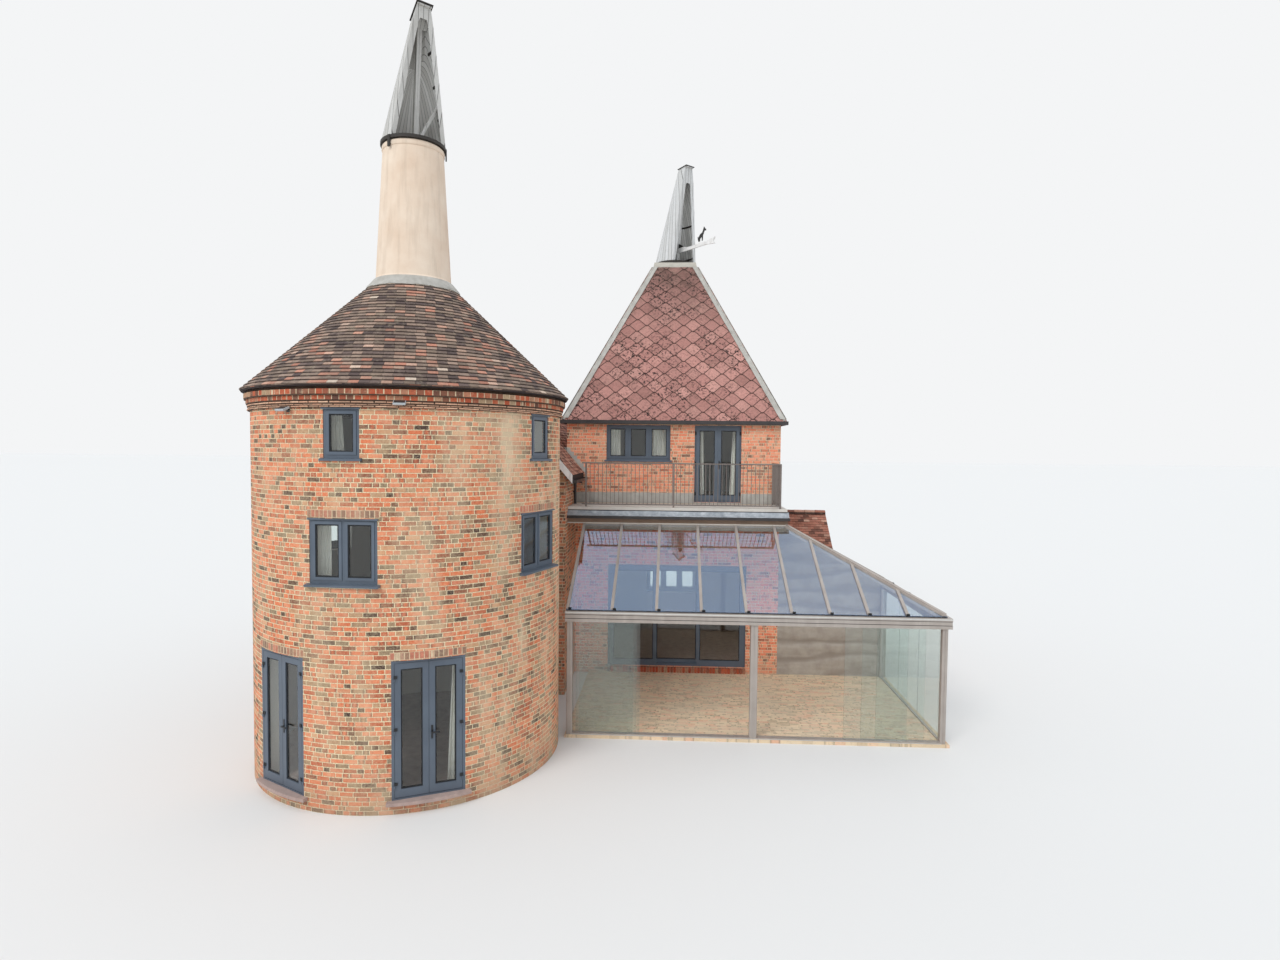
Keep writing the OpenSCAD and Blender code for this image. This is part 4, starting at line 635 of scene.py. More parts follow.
# Wrought iron, blacked: dull, with a trace of brown.
IRON = Coated("black_iron", "iron", base="#33312f", second="#4e4640", mottle_mm=60, mixed=0.6, grain_mm=3,
              roughness=(0.5, 0.8), metallic=0.4)
# Extruded aluminium, anodised: a warm satin silver.
CHAMPAGNE = Coated(
    "anodised_aluminium_champagne", "aluminium", base="#b3aaa2", second="#9c928a", mottle_mm=600, mixed=0.6,
    streaks="#cbc4bb", grain_mm=2, relief_mm=0.08, roughness=(0.35, 0.55), metallic=0.35)
# Mild steel, painted: a satin brown grey.
RAILING = Coated(
    "painted_steel_railing", "railing", base="#6f6660", second="#857b74", mottle_mm=120, mixed=0.6,
    grain_mm=3, relief_mm=0.2, roughness=(0.45, 0.7))
# Extruded plastic: black, a little greyed by sun.
GUTTER = Coated(
    "black_gutter_plastic", "gutter", base="#2f2c2d", second="#4a4543", mottle_mm=250, grain_mm=3,
    relief_mm=0.15, roughness=(0.35, 0.6))
# Milled lead sheet, dressed by hand: blue grey, blotched, streaked with white.
LEAD = Coated(
    "milled_lead_sheet", "lead", base="#8b9299", second="#b9bec2", mottle_mm=150, mixed=0.8,
    streaks="#d4d8da", streaked=0.5, grain_mm=9, relief_mm=1.0, roughness=(0.45, 0.7), metallic=0.25)
# Milled lead sheet after years outside: pale warm grey and matt.
PALE_LEAD = Coated(
    "weathered_pale_lead", "lead", base="#bdbab2", second="#9b988f", mottle_mm=220, mixed=0.7,
    streaks="#8c877d", streaked=0.4, grain_mm=9, relief_mm=0.8, roughness=(0.6, 0.85))
# Cast stone: matt, sandy and a little pink.
CONCRETE = Coated(
    "cast_stone", "concrete", base="#b39c92", second="#94807a", mottle_mm=150, mixed=0.7, grain_mm=5,
    relief_mm=1.0, roughness=(0.8, 0.95))
# Combed cement render: pale, with uneven level ribs whose hollows are darker as painted shade.
RIBBED_RENDER = Coated(
    "ribbed_pale_render", "concrete", base="#b3aa9e", second="#857a6f", grain_mm=6, relief_mm=9,
    roughness=(0.8, 0.95), waves_mm=70)
# Softwood, brush painted: white with grey runs.
WHITE_PAINT = Coated(
    "weathered_white_paint", "white_timber", base="#f1f0ed", second="#d6d4ce", mottle_mm=200,
    streaks="#8f8c85", streaked=0.35, relief_mm=0.4, roughness=(0.5, 0.8))
# Woven cotton: soft cream, without gloss.
CURTAIN = Coated(
    "cream_curtain_cloth", "boards", base="#faf7ee", second="#efeadb", mottle_mm=120, grain_mm=1.5,
    relief_mm=0.3, roughness=(0.85, 0.95))
# Sawn softwood boards, once white: silver grey with dark joints, their inner faces pale as painted light.
COWL_BOARDS = Boards("silvered_cowl_boards", "boards", base="#d6d5d1", second="#a9a69f", board_mm=105)
# The same boards on the square kiln's cowl, more white left on them.
KILN_COWL_BOARDS = Boards(
    "silvered_kiln_cowl_boards", "boards", base="#dfe0df", second="#b4b3ae", board_mm=105,
    centre=(5.015, 7.55))
# Planed softwood: pale, bleached by sun.
CURB_TIMBER = Boards("pale_curb_timber", "iron", base="#c9c4b8", second="#9a958a", axis=0, worn=0.5)
# Stained softwood, weathered: dull brown with open grain.
DARK_TIMBER = Boards(
    "weathered_dark_timber", "dark_timber", base="#967f6d", second="#6c5b4e", axis=0, worn=0.7)
# Softwood decking: bleached almost white.
PALE_TIMBER = Boards("bleached_deck_timber", "dark_timber", base="#dcd7ce", second="#b3aba0", axis=0)
# Oiled oak boards: warm brown, satin.
FLOOR_BOARDS = Boards("oak_floor_boards", "floor_boards", base="#b08d63", second="#8d6c48", axis=0, worn=0.5)
# Clay pavers, sand faced: pale yellow and pink with light joints.
PAVERS = Brickwork(
    "clay_pavers", "pavers", run=Course.FLAT, unit_mm=215, course_mm=75, joint_mm=7, headers=0.1,
    palette=((0.0, "#c4ad90"), (0.3, "#ead0ad"), (0.6, "#f6ddba"), (0.8, "#f2c8a8"), (1.0, "#ecb494")),
    joint="#f8e6c4", dirt="#c4b094", bleach="#faeed4", bleached=0.35)
# Float glass: clear, faintly green at its edge.
GLASS = FloatGlass("float_glass", "glass")
# Toughened float glass, low in iron: clearer and less green.
TOUGHENED = FloatGlass("toughened_float_glass", "toughened_glass", tint="#f2f6f5", clear=0.92)
# The cornice's brick laid on edge as a step.
STEP_BRICK = replace(CORNICE_BRICK, name="brick_on_edge", slot="pavers")
# Solar control glass, metal coated: its reflections tinted blue, partly the coating's own and partly a painted
# reflection of a blue sky; clear from below.
SOLAR_GLASS = FloatGlass(
    "blue_solar_control_glass", "toughened_glass", tint="#dae5f0", density=2.6, clear=0.93, coating_and_painted_sky="#b4cffa",
    coated_over=2.595)
# Moulded rubber: black and dull; also black strips as painted shade in the beam's grooves and along the top of
# the balcony's lead apron.
RUBBER_AND_PAINTED_SHADE = Coated(
    "black_rubber_and_painted_shade", "joinery", base="#1c1d1f", second="#2a2b2d", mottle_mm=40, grain_mm=1, relief_mm=0.1,
    roughness=(0.6, 0.8))
# Die-cast aluminium, lacquered: a satin light grey.
LIGHT_HOUSING = Coated(
    "die_cast_light_housing", "lead", base="#b9bec0", second="#9ba1a4", mottle_mm=50, grain_mm=1.5,
    relief_mm=0.1, roughness=(0.4, 0.6))
# Mill-finished aluminium: a bright, soft grey; also a pale strip along the beam as a painted highlight.
ALUMINIUM_AND_PAINTED_HIGHLIGHT = Coated("mill_aluminium_and_painted_highlight", "aluminium", base="#d3d2cd", second="#b7b5af", mottle_mm=90,
                   grain_mm=1, relief_mm=0.1, roughness=(0.35, 0.5), metallic=0.3)
# The joinery's coat on the door leaves, black on the hinges and handles beyond their face.
LEAF_PAINT = {
    side: replace(JOINERY, name=f"{side}_door_paint_and_black_furniture", limit=2.7445,
                  beyond=(math.cos(math.radians(turn)), math.sin(math.radians(turn)), 0.0))
    for side, turn in (("left", -119.5), ("right", -65.6))}
# White paint on the vane's post, black on the figure over it.
VANE_PAINT = replace(
    WHITE_PAINT, name="painted_weather_vane", beyond=(0.0, 0.0, 1.0), limit=11.7, black="#2c2b2a")

# Modelling.


def put(name: str, data: bpy.types.ID) -> bpy.types.Object:
    """Puts an object into the scene.

    Args:
        name: the object's name.
        data: its mesh, camera or light.

    Returns:
        The object.
    """
    made = bpy.data.objects.new(name, data)
    bpy.context.scene.collection.objects.link(made)
    return made


class Workpiece:
    """One piece under way, shaped by mesh operators."""

    def __init__(self) -> None:
        """Starts an empty piece."""
        self.bm = bmesh.new()

    def ease(self, edges: Iterable[bmesh.types.BMEdge], radius: float, segments: int = 1,
             clamped: bool = False) -> None:
        """Eases edges.

        Args:
            edges: the edges.
            radius: how far from the edge the easing starts.
            segments: how many flats it has.
            clamped: whether it stops where it would meet another.
        """
        bmesh.ops.bevel(self.bm, geom=list(edges), offset=radius, segments=segments, profile=0.5,
                        affect="EDGES", clamp_overlap=clamped, material=-1)

    def slab(self, low: Point, high: Point, turn: Matrix | None = None, edge: float = 0.0) -> None:
        """Adds a rectangular block, with its edges rounded where asked.

        Args:
            low: its lowest corner.
            high: its highest corner.
            turn: where the block is then moved.
            edge: radius of its edges.
        """
        lo, hi = Vector(low), Vector(high)
        size = Matrix.Diagonal((*(hi - lo), 1.0))
        move = (turn or Matrix.Identity(4)) @ Matrix.Translation((lo + hi) / 2) @ size
        made = bmesh.ops.create_cube(self.bm, size=1.0, matrix=move)["verts"]
        if edge:
            self.ease({e for v in made for e in v.link_edges}, edge, 2, True)

    def rod(self, start: Point, end: Point, radius: float, sides: int = 16, tip: float | None = None) -> None:
        """Adds a round bar between two points.

        Args:
            start: one end.
            end: the other end.
            radius: its radius at the start.
            sides: how many sides it has.
            tip: its radius at the end, where that differs.
        """
        a, b = Vector(start), Vector(end)
        turn = (b - a).to_track_quat("Z", "Y").to_matrix().to_4x4()
        bmesh.ops.create_cone(self.bm, cap_ends=True, segments=sides, radius1=radius,
                              radius2=radius if tip is None else tip, depth=(b - a).length,
                              matrix=Matrix.Translation((a + b) / 2) @ turn)

    def prism(self, outline: Iterable[Point], travel: Point, edge: float = 0.0) -> None:
        """Adds a flat outline drawn out to a solid.

        Args:
            outline: its corners in order.
            travel: how far and where it is drawn out.
            edge: radius of its edges.
        """
        face = self.bm.faces.new([self.bm.verts.new(p) for p in outline])
        grown = bmesh.ops.extrude_face_region(self.bm, geom=[face])["geom"]
        moved = [v for v in grown if isinstance(v, bmesh.types.BMVert)]
        bmesh.ops.translate(self.bm, vec=Vector(travel), verts=moved)
        if edge:
            self.ease({e for v in [*moved, *face.verts] for e in v.link_edges}, edge, 2, True)

    def ring(self, profile: Iterable[tuple[float, float]], start: float = 0.0, end: float = 360.0,
             steps: int = 96, centre: Point = (0.0, 0.0, 0.0)) -> None:
        """Spins a closed profile of radius and height pairs about an upright axis.

        Args:
            profile: corners of the section.
            start: first bearing in degrees.
            end: last bearing in degrees.
            steps: how many steps the turn has.
            centre: the axis.
        """
        c = Vector(centre)
        full = abs(end - start) >= 360.0
        a = math.radians(start)
        verts = [self.bm.verts.new(c + Vector((r * math.cos(a), r * math.sin(a), z))) for r, z in profile]
        face = self.bm.faces.new(verts)
        geom = [face, *face.edges, *face.verts]
        if full:
            geom = [*face.edges, *face.verts]
            bmesh.ops.delete(self.bm, geom=[face], context="FACES_ONLY")
        bmesh.ops.spin(self.bm, geom=geom, cent=c, axis=(0, 0, 1), angle=math.radians(end - start),
                       steps=steps, use_merge=full, use_normal_flip=False)

    def band(self, radii: tuple[float, float], heights: tuple[float, float], start: float = 0.0,
             end: float = 360.0, steps: int = 96) -> None:
        """Spins a flat band about the upright axis at the origin.

        Args:
            radii: its inner and outer radius.
            heights: its lower and upper height.
            start: first bearing in degrees.
            end: last bearing in degrees.
            steps: how many steps the turn has.
        """
        (inner, outer), (low, high) = radii, heights
        self.ring([(inner, low), (outer, low), (outer, high), (inner, high)], start, end, steps)

    def stamp(self, unit: bpy.types.Mesh, places: Iterable[Matrix], seed: int,
              covered: float = math.inf) -> int:
        """Adds a copy of a unit at each place, each with its own firing and its lower corners marked for
        painted shade.

        Args:
            unit: the mesh to copy.
            places: where the copies go.
            seed: start of the firing numbers.
            covered: how far up a unit the next one's tail crosses it, with painted shade and dirt marked below.

        Returns:
            How many copies were added.
        """
        chance = random.Random(seed)
        rest = np.empty(len(unit.vertices) * 3, dtype=np.float32)
        unit.vertices.foreach_get("co", rest)
        firing = unit.attributes.get("firing") or unit.attributes.new("firing", "FLOAT_COLOR", "POINT")
        tone = np.ones((len(unit.vertices), 4), dtype=np.float32)
        # The third channel marks the lower half and the strip under the next tail, where the finish paints
        # shade, with dirt under the tail.
        tone[:, 2] = (rest[2::3] < (rest[2::3].min() + rest[2::3].max()) / 2) | (rest[1::3] > covered - 0.01)
        count = 0
        for place in places:
            unit.vertices.foreach_set("co", rest)
            unit.transform(place)
            tone[:, 0], tone[:, 1] = chance.random(), chance.random()
            firing.data.foreach_set("color", tone.ravel())
            self.bm.from_mesh(unit)
            count += 1
        unit.vertices.foreach_set("co", rest)
        return count

    def cut(self, point: Point, normal: Point, fill: bool = False, clear: bool = True) -> None:
        """Cuts along a plane, and clears what lies on the normal's side of it.

        Args:
            point: a point of the plane.
            normal: the side that goes.
            fill: whether the cut is closed.
            clear: whether that side goes; otherwise only the cut's edges are added.
        """
        geom = [*self.bm.verts, *self.bm.edges, *self.bm.faces]
        cut = bmesh.ops.bisect_plane(self.bm, geom=geom, plane_co=Vector(point), plane_no=Vector(normal),
                                     clear_outer=clear)["geom_cut"]
        if fill:
            bmesh.ops.holes_fill(self.bm, edges=[e for e in cut if isinstance(e, bmesh.types.BMEdge)],
                                 sides=0)

    def mesh(self, name: str) -> bpy.types.Mesh:
        """Turns the piece into a mesh and lets its bmesh go.

        Args:
            name: the mesh's name.

        Returns:
            The mesh, its faces turned outwards.
        """
        bmesh.ops.recalc_face_normals(self.bm, faces=self.bm.faces)
        made = bpy.data.meshes.new(name)
        self.bm.to_mesh(made)
        self.bm.free()
        return made

    def finish(self, name: str, finish: Finish, body: str = "house", smooth: float = 0.0) -> bpy.types.Object:
        """Makes the piece an object that rides on a body.

        Args:
            name: the piece's name.
            finish: its finish.
            body: the body that carries it.
            smooth: angle in degrees under which edges are shaded smooth.

        Returns:
            The finished object.
        """
        made = self.mesh(name)
        made.materials.append(finish.material())
        piece = put(name, made)
        if smooth:
            made.shade_smooth()
            made.set_sharp_from_angle(angle=math.radians(smooth))
        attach(piece, body)
        LOG.info("%s: %d faces on %s", name, len(made.polygons), body)
        return piece


UP = Vector((0.0, 0.0, 1.0))


def bearing(degrees: float) -> Vector:
    """Returns the level unit vector at a bearing from +X."""
    a = math.radians(degrees)
    return Vector((math.cos(a), math.sin(a), 0.0))


def frame_of(origin: Point, across: Point, up: Point, out: Point) -> Matrix:
    """Builds the placing of a unit drawn with X across, Y up the slope and Z outwards.

    Args:
        origin: where the unit's own origin goes.
        across: its X.
        up: its Y.
        out: its Z.

    Returns:
        The placing.
    """
    axes = [Vector(axis).normalized() for axis in (across, up, out)]
    turn = Matrix(axes).transposed()
    return Matrix.Translation(Vector(origin)) @ turn.to_4x4()


# Roofs, cornice and heads.

# Plain tiles, in metres: their length, eased edge, the painted shade and dirt below the next tail, and the
# eaves' overhang.
TILE_LENGTH = 0.17
TILE_EASED = 0.003
SHADE_AND_DIRT_RUN = 0.026
SHADE_AND_DIRT_END = 0.008
EAVES_OVERHANG = 0.02
# How tiles lie: the share of the pitch that each fills, its lift and unevenness, and a turn in degrees.
TILE_SHARE = 0.975
LIFT = 0.003
UNEVEN = 0.003
ASKEW = 0.8
# The club tile's moulded rim: its width in metres, and the share of the thickness that its edge has; lying
# under half the thickness, its edge is marked for painted shade.
RIM_WIDTH = 0.026
RIM_SHARE = 0.45


def loose_brick(length: float, height: float, depth: float = 0.03, eased: float = 0.004) -> bpy.types.Mesh:
    """Makes a brick as a wall shows it, its face on Z 0 and its lower edge on Y 0.

    Args:
        length: its length across the wall.
        height: its height up the wall.
        depth: how far it runs into the wall.
        eased: how much its outer edges are worn.

    Returns:
        The brick's mesh.
    """
    brick = Workpiece()
    brick.slab((-length / 2, 0.0, -depth), (length / 2, height, 0.0))
    brick.ease([e for e in brick.bm.edges if all(v.co.z > -depth / 2 for v in e.verts)], eased)
    return brick.mesh("loose_brick")


def plain_tile(thickness: float, covered: float = 0.0) -> bpy.types.Mesh:
    """Makes a plain tile of unit width, tail at the origin, with its upper edges eased.

    Args:
        thickness: its thickness.
        covered: where the next tail up crosses it, or 0 where the painted shade and dirt below that tail aren't
            marked.

    Returns:
        The tile's mesh.
    """
    tile = Workpiece()
    tile.slab((-0.5, 0.0, 0.0), (0.5, TILE_LENGTH, thickness))
    tile.ease([e for e in tile.bm.edges if all(v.co.z > thickness / 2 for v in e.verts)], TILE_EASED)
    if covered:
        for y in (covered - SHADE_AND_DIRT_RUN, covered - SHADE_AND_DIRT_END):
            tile.cut((0, y, 0), (0, 1, 0), clear=False)
    return tile.mesh("plain_tile")


def club_tile(width: float, crop: float, thickness: float) -> bpy.types.Mesh:
    """Makes a square tile laid on its corner, its lower and upper corners cropped.

    Args:
        width: its width from corner to corner.
        crop: how much of the lower and upper corners is cropped.
        thickness: its thickness.

    Returns:
        The tile's mesh, with the lower corner's place at the origin.
    """
    tile = Workpiece()
    h, c = width / 2, crop
    tile.prism([(-c, c, 0), (c, c, 0), (h, h, 0), (c, width - c, 0), (-c, width - c, 0), (-h, h, 0)],
               (0, 0, thickness))
    top = max(tile.bm.faces, key=lambda face: face.calc_center_median().z)
    bmesh.ops.inset_region(tile.bm, faces=[top], thickness=RIM_WIDTH, use_even_offset=True)
    for v in tile.bm.verts:
        if v.co.z > 0 and v not in top.verts:
            v.co.z = thickness * RIM_SHARE
    return tile.mesh("club_tile")


def spans(length: float, width: float, staggered: bool) -> list[tuple[float, float]]:
    """Divides a course into tiles, with half tiles at its ends on every second one.

    Args:
        length: the course's length.
        width: a tile's width.
        staggered: whether it starts with a half tile.

    Returns:
        The middle and the width of each tile.
    """
    count = max(1, round(length / width))
    w = length / count
    if not staggered:
        return [((i + 0.5) * w, w) for i in range(count)]
    return [(w / 4, w / 2), *(((i + 1) * w, w) for i in range(count - 1)), (length - w / 4, w / 2)]


@dataclass
class ConeRoof:
    """Plain tiles in rings round the roundel's cone."""

    edge_r: float = 2.94
    edge_z: float = 6.82
    top_r: float = 0.90
    rise: float = 0.9403
    gauge: float = 0.0925
    tile_w: float = 0.165
    tile_t: float = 0.017
    top_z: float = 8.815
    # How deep the short course under the eaves lies, and how far the rings slip, as a share of a tile.
    sunk: float = 0.015
    drift: float = 0.08

    def places(self) -> Iterable[Matrix]:
        """Places each tile, ring by ring from the eaves.

        Returns:
            The tiles' placings, one after another.
        """
        chance = random.Random(11)
        slope = math.atan(self.rise)
        tilt = math.asin(self.tile_t / self.gauge)
        run = (self.edge_r - self.top_r) / math.cos(slope)
        for ring in range(-1, int(run / self.gauge) + 1):
            s = max(ring, 0) * self.gauge - EAVES_OVERHANG
            lift = LIFT if ring >= 0 else -self.sunk
            r = self.edge_r - s * math.cos(slope)
            count = round(2 * math.pi * (r - 0.03) / self.tile_w)
            stretch = Matrix.Diagonal((2 * math.pi * r / count * TILE_SHARE, 1, 1, 1))
            for i in range(count):
                share = (i + ring % 2 / 2 + self.drift * math.sin(ring * 3.1)) / count
                turn = math.degrees(2 * math.pi * share)
                out = bearing(turn)
                up = -out * math.cos(slope - tilt) + UP * math.sin(slope - tilt)
                across = bearing(turn + 90 + chance.uniform(-ASKEW, ASKEW))
                normal = up.cross(across) * -1
                at = out * r + UP * (self.edge_z + s * math.sin(slope))
                at += normal * (lift + chance.uniform(0, UNEVEN))
                yield frame_of(at, across, up, normal) @ stretch

    def build(self) -> None:
        """Lays the rings of tiles."""
        piece = Workpiece()
        unit = plain_tile(self.tile_t, self.gauge)
        LOG.info("cone tiles: %d", piece.stamp(unit, self.places(), 21, self.gauge))
        piece.cut((0, 0, self.top_z), UP, fill=True)
        piece.finish("cone_roof_tiles", CONE_TILE)


@dataclass
class GabledRoof:
    """Plain tiles on two slopes, with half-round tiles along their ridge."""

    name: str
    ridge: tuple[Point, Point]
    half: float
    drop: float
    cleared: Callable[[Vector], bool]
    gauge: float = 0.1
    tile_w: float = 0.165
    tile_t: float = 0.013
    ridge_l: float = 0.3
    ridge_r: float = 0.118
    ridge_sunk: float = 0.045

    def places(self, side: int) -> Iterable[Matrix]:
        """Places one slope's tiles.

        Args:
            side: 1 for the slope on the ridge's right, -1 for the other.

        Returns:
            The tiles' placings, course by course.
        """
        chance = random.Random(31 + side)
        start, end = Vector(self.ridge[0]), Vector(self.ridge[1])
        along = (end - start).normalized()
        level = along.cross(UP) * side
        slope = math.atan2(self.drop, self.half)
        tilt = math.asin(self.tile_t / self.gauge)
        run = math.hypot(self.drop, self.half)
        up_flat = -level * math.cos(slope) + UP * math.sin(slope)
        up = -level * math.cos(slope - tilt) + UP * math.sin(slope - tilt)
        across = along * side
        normal = across.cross(up)
        eaves = start + level * self.half - UP * self.drop
        for course in range(int(run / self.gauge)):
            for middle, width in spans((end - start).length, self.tile_w, course % 2 == 1):
                at = eaves + along * middle + up_flat * (course * self.gauge - EAVES_OVERHANG)
                if not self.cleared(at):
                    continue
                at += normal * (LIFT + chance.uniform(0, UNEVEN))
                turn = Matrix.Rotation(math.radians(chance.uniform(-ASKEW, ASKEW)), 4, "Z")
                yield frame_of(at, across, up, normal) @ turn @ Matrix.Diagonal((width * TILE_SHARE, 1, 1, 1))

    def ridge_places(self) -> Iterable[Matrix]:
        """Places the ridge's half-round tiles.

        Returns:
            Their placings, from one end to the other.
        """
        start, end = Vector(self.ridge[0]), Vector(self.ridge[1])
        along = (end - start).normalized()
        count = round((end - start).length / self.ridge_l)
        for i in range(count):
            at = start + along * ((i + 0.5) * (end - start).length / count) - UP * self.ridge_sunk
            if self.cleared(at):
                yield frame_of(at, along.cross(UP), along, (0, 0, 1))

    def build(self) -> None:
        """Lays both slopes and the ridge."""
        unit = plain_tile(self.tile_t)
        piece = Workpiece()
        for side in (1, -1):
            piece.stamp(unit, self.places(side), 41 + side)
        piece.finish(f"{self.name}_tiles", RED_TILE)
        cap = Workpiece()
        reach = self.ridge_l / 2 + 0.002
        cap.rod((0, -reach, 0), (0, reach, 0), self.ridge_r, sides=14, tip=self.ridge_r - 0.006)
        cap.cut((0, 0, -0.01), (0, 0, -1), fill=True)
        unit = cap.mesh("ridge_tile")
        ridge = Workpiece()
        ridge.stamp(unit, self.ridge_places(), 51)
        ridge.finish(f"{self.name}_ridge_tiles", RED_TILE, smooth=40)


@dataclass
class PyramidRoof:
    """Diamond-cut tiles on the square kiln's four slopes."""

    centre: tuple[float, float] = (5.015, 7.55)
    edge_half: float = 2.84
    edge_z: float = 6.60
    top_half: float = 0.62
    top_z: float = 11.03
    tile_w: float = 0.505
    row_h: float = 0.193
    crop: float = 0.028
    tile_t: float = 0.011
    clearance: float = 0.004
    askew: float = 1.2
    share: float = 0.985
    hip_w: float = 0.135
    hip_lift: float = 0.041
    hip_t: float = 0.004

    def places(self) -> Iterable[Matrix]:
        """Places the front slope's tiles, some of them past its hips.

        Returns:
            Their placings, row by row from below the eaves.
        """
        chance = random.Random(61)
        rise, run = self.top_z - self.edge_z, self.edge_half - self.top_half
        slope = math.atan2(rise, run)
        length = math.hypot(rise, run)
        row_h = self.row_h
        tilt = math.atan(self.tile_t / row_h)
        up_flat = Vector((0, math.cos(slope), math.sin(slope)))
        up = Vector((0, math.cos(slope - tilt), math.sin(slope - tilt)))
        normal = Vector((1, 0, 0)).cross(up)
        for row in range(-2, int(length / row_h) + 1):
            s = row * row_h
            half = self.edge_half - s * math.cos(slope) + self.tile_w / 2
            shift = 0.5 if row % 2 else 0.0
            for i in range(-int(half / self.tile_w) - 1, int(half / self.tile_w) + 2):
                x = (i + shift) * self.tile_w
                if abs(x) > half:
                    continue
                at = Vector((self.centre[0] + x, self.centre[1] - self.edge_half, self.edge_z)) + up_flat * s
                at += normal * (self.clearance + 2 * self.tile_t + chance.uniform(0, UNEVEN))
                turn = Matrix.Rotation(math.radians(chance.uniform(-self.askew, self.askew)), 4, "Z")
                yield frame_of(at, (1, 0, 0), up, normal) @ turn @ Matrix.Diagonal((self.share, 1, 1, 1))

    def flash_hips(self) -> None:
        """Dresses a strip of lead over the tiles on each side of the four hips."""
        rise, run = self.top_z - self.edge_z, self.edge_half - self.top_half
        out = Vector((0, -rise, run)).normalized()
        cx, cy = self.centre
        piece = Workpiece()
        for quarter in range(4):
            turn = Matrix.Translation((cx, cy, 0)) @ Matrix.Rotation(quarter * math.pi / 2, 4, "Z")
            for side in (1, -1):
                foot, top = (self.edge_half, self.edge_z + 0.03), (self.top_half, self.top_z - 0.005)
                ends = ((foot, 0), (top, 0), (top, self.hip_w), (foot, self.hip_w))
                strip = [turn @ (Vector((side * (half - inward), -half, z)) + out * self.hip_lift)
                         for (half, z), inward in ends]
                piece.prism(strip, turn.to_3x3() @ out * self.hip_t)
        piece.finish("hip_flashings", PALE_LEAD)

    def build(self) -> None:
        """Lays one slope, trims it at its hips, eaves and curb, and turns it to all four sides."""
        slope = Workpiece()
        slope.stamp(club_tile(self.tile_w, self.crop, self.tile_t), self.places(), 71)
        cx, cy = self.centre
        for side in (1, -1):
            slope.cut((cx, cy, 0), (side, 1, 0), fill=True)
        slope.cut((0, 0, self.edge_z - 0.01), (0, 0, -1), fill=True)
        slope.cut((0, 0, self.top_z), (0, 0, 1), fill=True)
        one = slope.mesh("one_slope")
        roof = Workpiece()
        middle = Matrix.Translation((cx, cy, 0))
        for quarter in range(4):
            turned = one.copy()
            turned.transform(middle @ Matrix.Rotation(quarter * math.pi / 2, 4, "Z") @ middle.inverted())
            roof.bm.from_mesh(turned)
        roof.finish("pyramid_roof_tiles", PINK_TILE)
        self.flash_hips()


# The kiln's corner and the reach of the round roof's eaves, each with a little clearance.
KILN_LEFT_X = 2.25
KILN_FRONT_Y = 4.78
EAVES_REACH = 2.97


def off_the_roundel_and_kiln(at: Vector) -> bool:
    """Tells whether a tile of the stowage roof lies clear of the round roof and the kiln's walls."""
    in_kiln = at.x > KILN_LEFT_X and at.y > KILN_FRONT_Y
    return math.hypot(at.x, at.y) > EAVES_REACH and not in_kiln


def anywhere(at: Vector) -> bool:
    """Lets every tile lie."""
    return True


def in_round_wall(turn: float, radius: float, low: float) -> Matrix:
    """Places a brick's face in the roundel's wall, at a bearing, a radius and a height."""
    out = bearing(turn)
    return frame_of(out * radius + UP * low, bearing(turn + 90), UP, out)


@dataclass
class Cornice:
    """Creasing tiles and bold brick courses that corbel out under the roundel's eaves."""

    # Each course's underside, top and outer radius.
    creasing: tuple[tuple[float, float, float], ...] = (
        (6.4575, 6.4745, 2.847), (6.4880, 6.5045, 2.8355), (6.5245, 6.5465, 2.8510))
    bold: tuple[tuple[float, float, float], ...] = ((6.570, 6.638, 2.865), (6.656, 6.736, 2.901))
    bold_d: float = 0.06
    tile_l: float = 0.166
    brick_l: float = 0.106
    joint: float = 0.014

    def places(self, low: float, radius: float, length: float, seed: int) -> Iterable[Matrix]:
        """Places one course's units.

        Args:
            low: the course's underside.
            radius: its outer face.
            length: a unit's length.
            seed: start of its small unevenness.

        Returns:
            Their placings round the wall.
        """
        chance = random.Random(seed)
        count = round(2 * math.pi * radius / (length + self.joint))
        for i in range(count):
            turn = 360 * (i + seed * 0.37 + chance.uniform(-0.04, 0.04)) / count
            yield in_round_wall(turn, radius + chance.uniform(-0.003, 0.003),
                                low + chance.uniform(-0.002, 0.002))

    def build(self) -> None:
        """Lays the three creasing courses and the two bold ones."""
        for name, courses, length, depth, eased, finish, first in (
                ("roundel_creasing_tiles", self.creasing, self.tile_l, 0.03, 0.003, CREASING, 0),
                ("roundel_cornice_bricks", self.bold, self.brick_l, self.bold_d, 0.004, CORNICE_BRICK, 5)):
            piece = Workpiece()
            for seed, (low, high, radius) in enumerate(courses, first):
                unit = loose_brick(length, high - low, depth, eased)
                piece.stamp(unit, self.places(low, radius, length, seed), seed)
            piece.finish(name, finish)
        piece = Workpiece()
        for low, high, radius in self.bold:
            piece.band((radius - 0.008, radius - 0.0025), (low + 0.002, high - 0.002), steps=180)
        piece.finish("roundel_cornice_pointing", MORTAR)


@dataclass
class EavesBed:
    """The course of mortar and slips in which the roundel's eaves tiles are bedded, coloured dark as painted
    shade.
    """

    radius: float = 2.8455
    low: float = 6.738
    high: float = 6.778

    def build(self) -> None:
        """Spins the course, uneven at its face."""
        piece = Workpiece()
        piece.band((self.radius - 0.006, self.radius + 0.004), (self.low, self.high), steps=240)
        chance = random.Random(7)
        for v in piece.bm.verts:
            if math.hypot(v.co.x, v.co.y) > self.radius:
                v.co += Vector((v.co.x, v.co.y, 0)) * chance.uniform(-0.0008, 0.0008)
        piece.finish("eaves_bed_painted_shade", RECESS_MORTAR_PAINTED_SHADE)


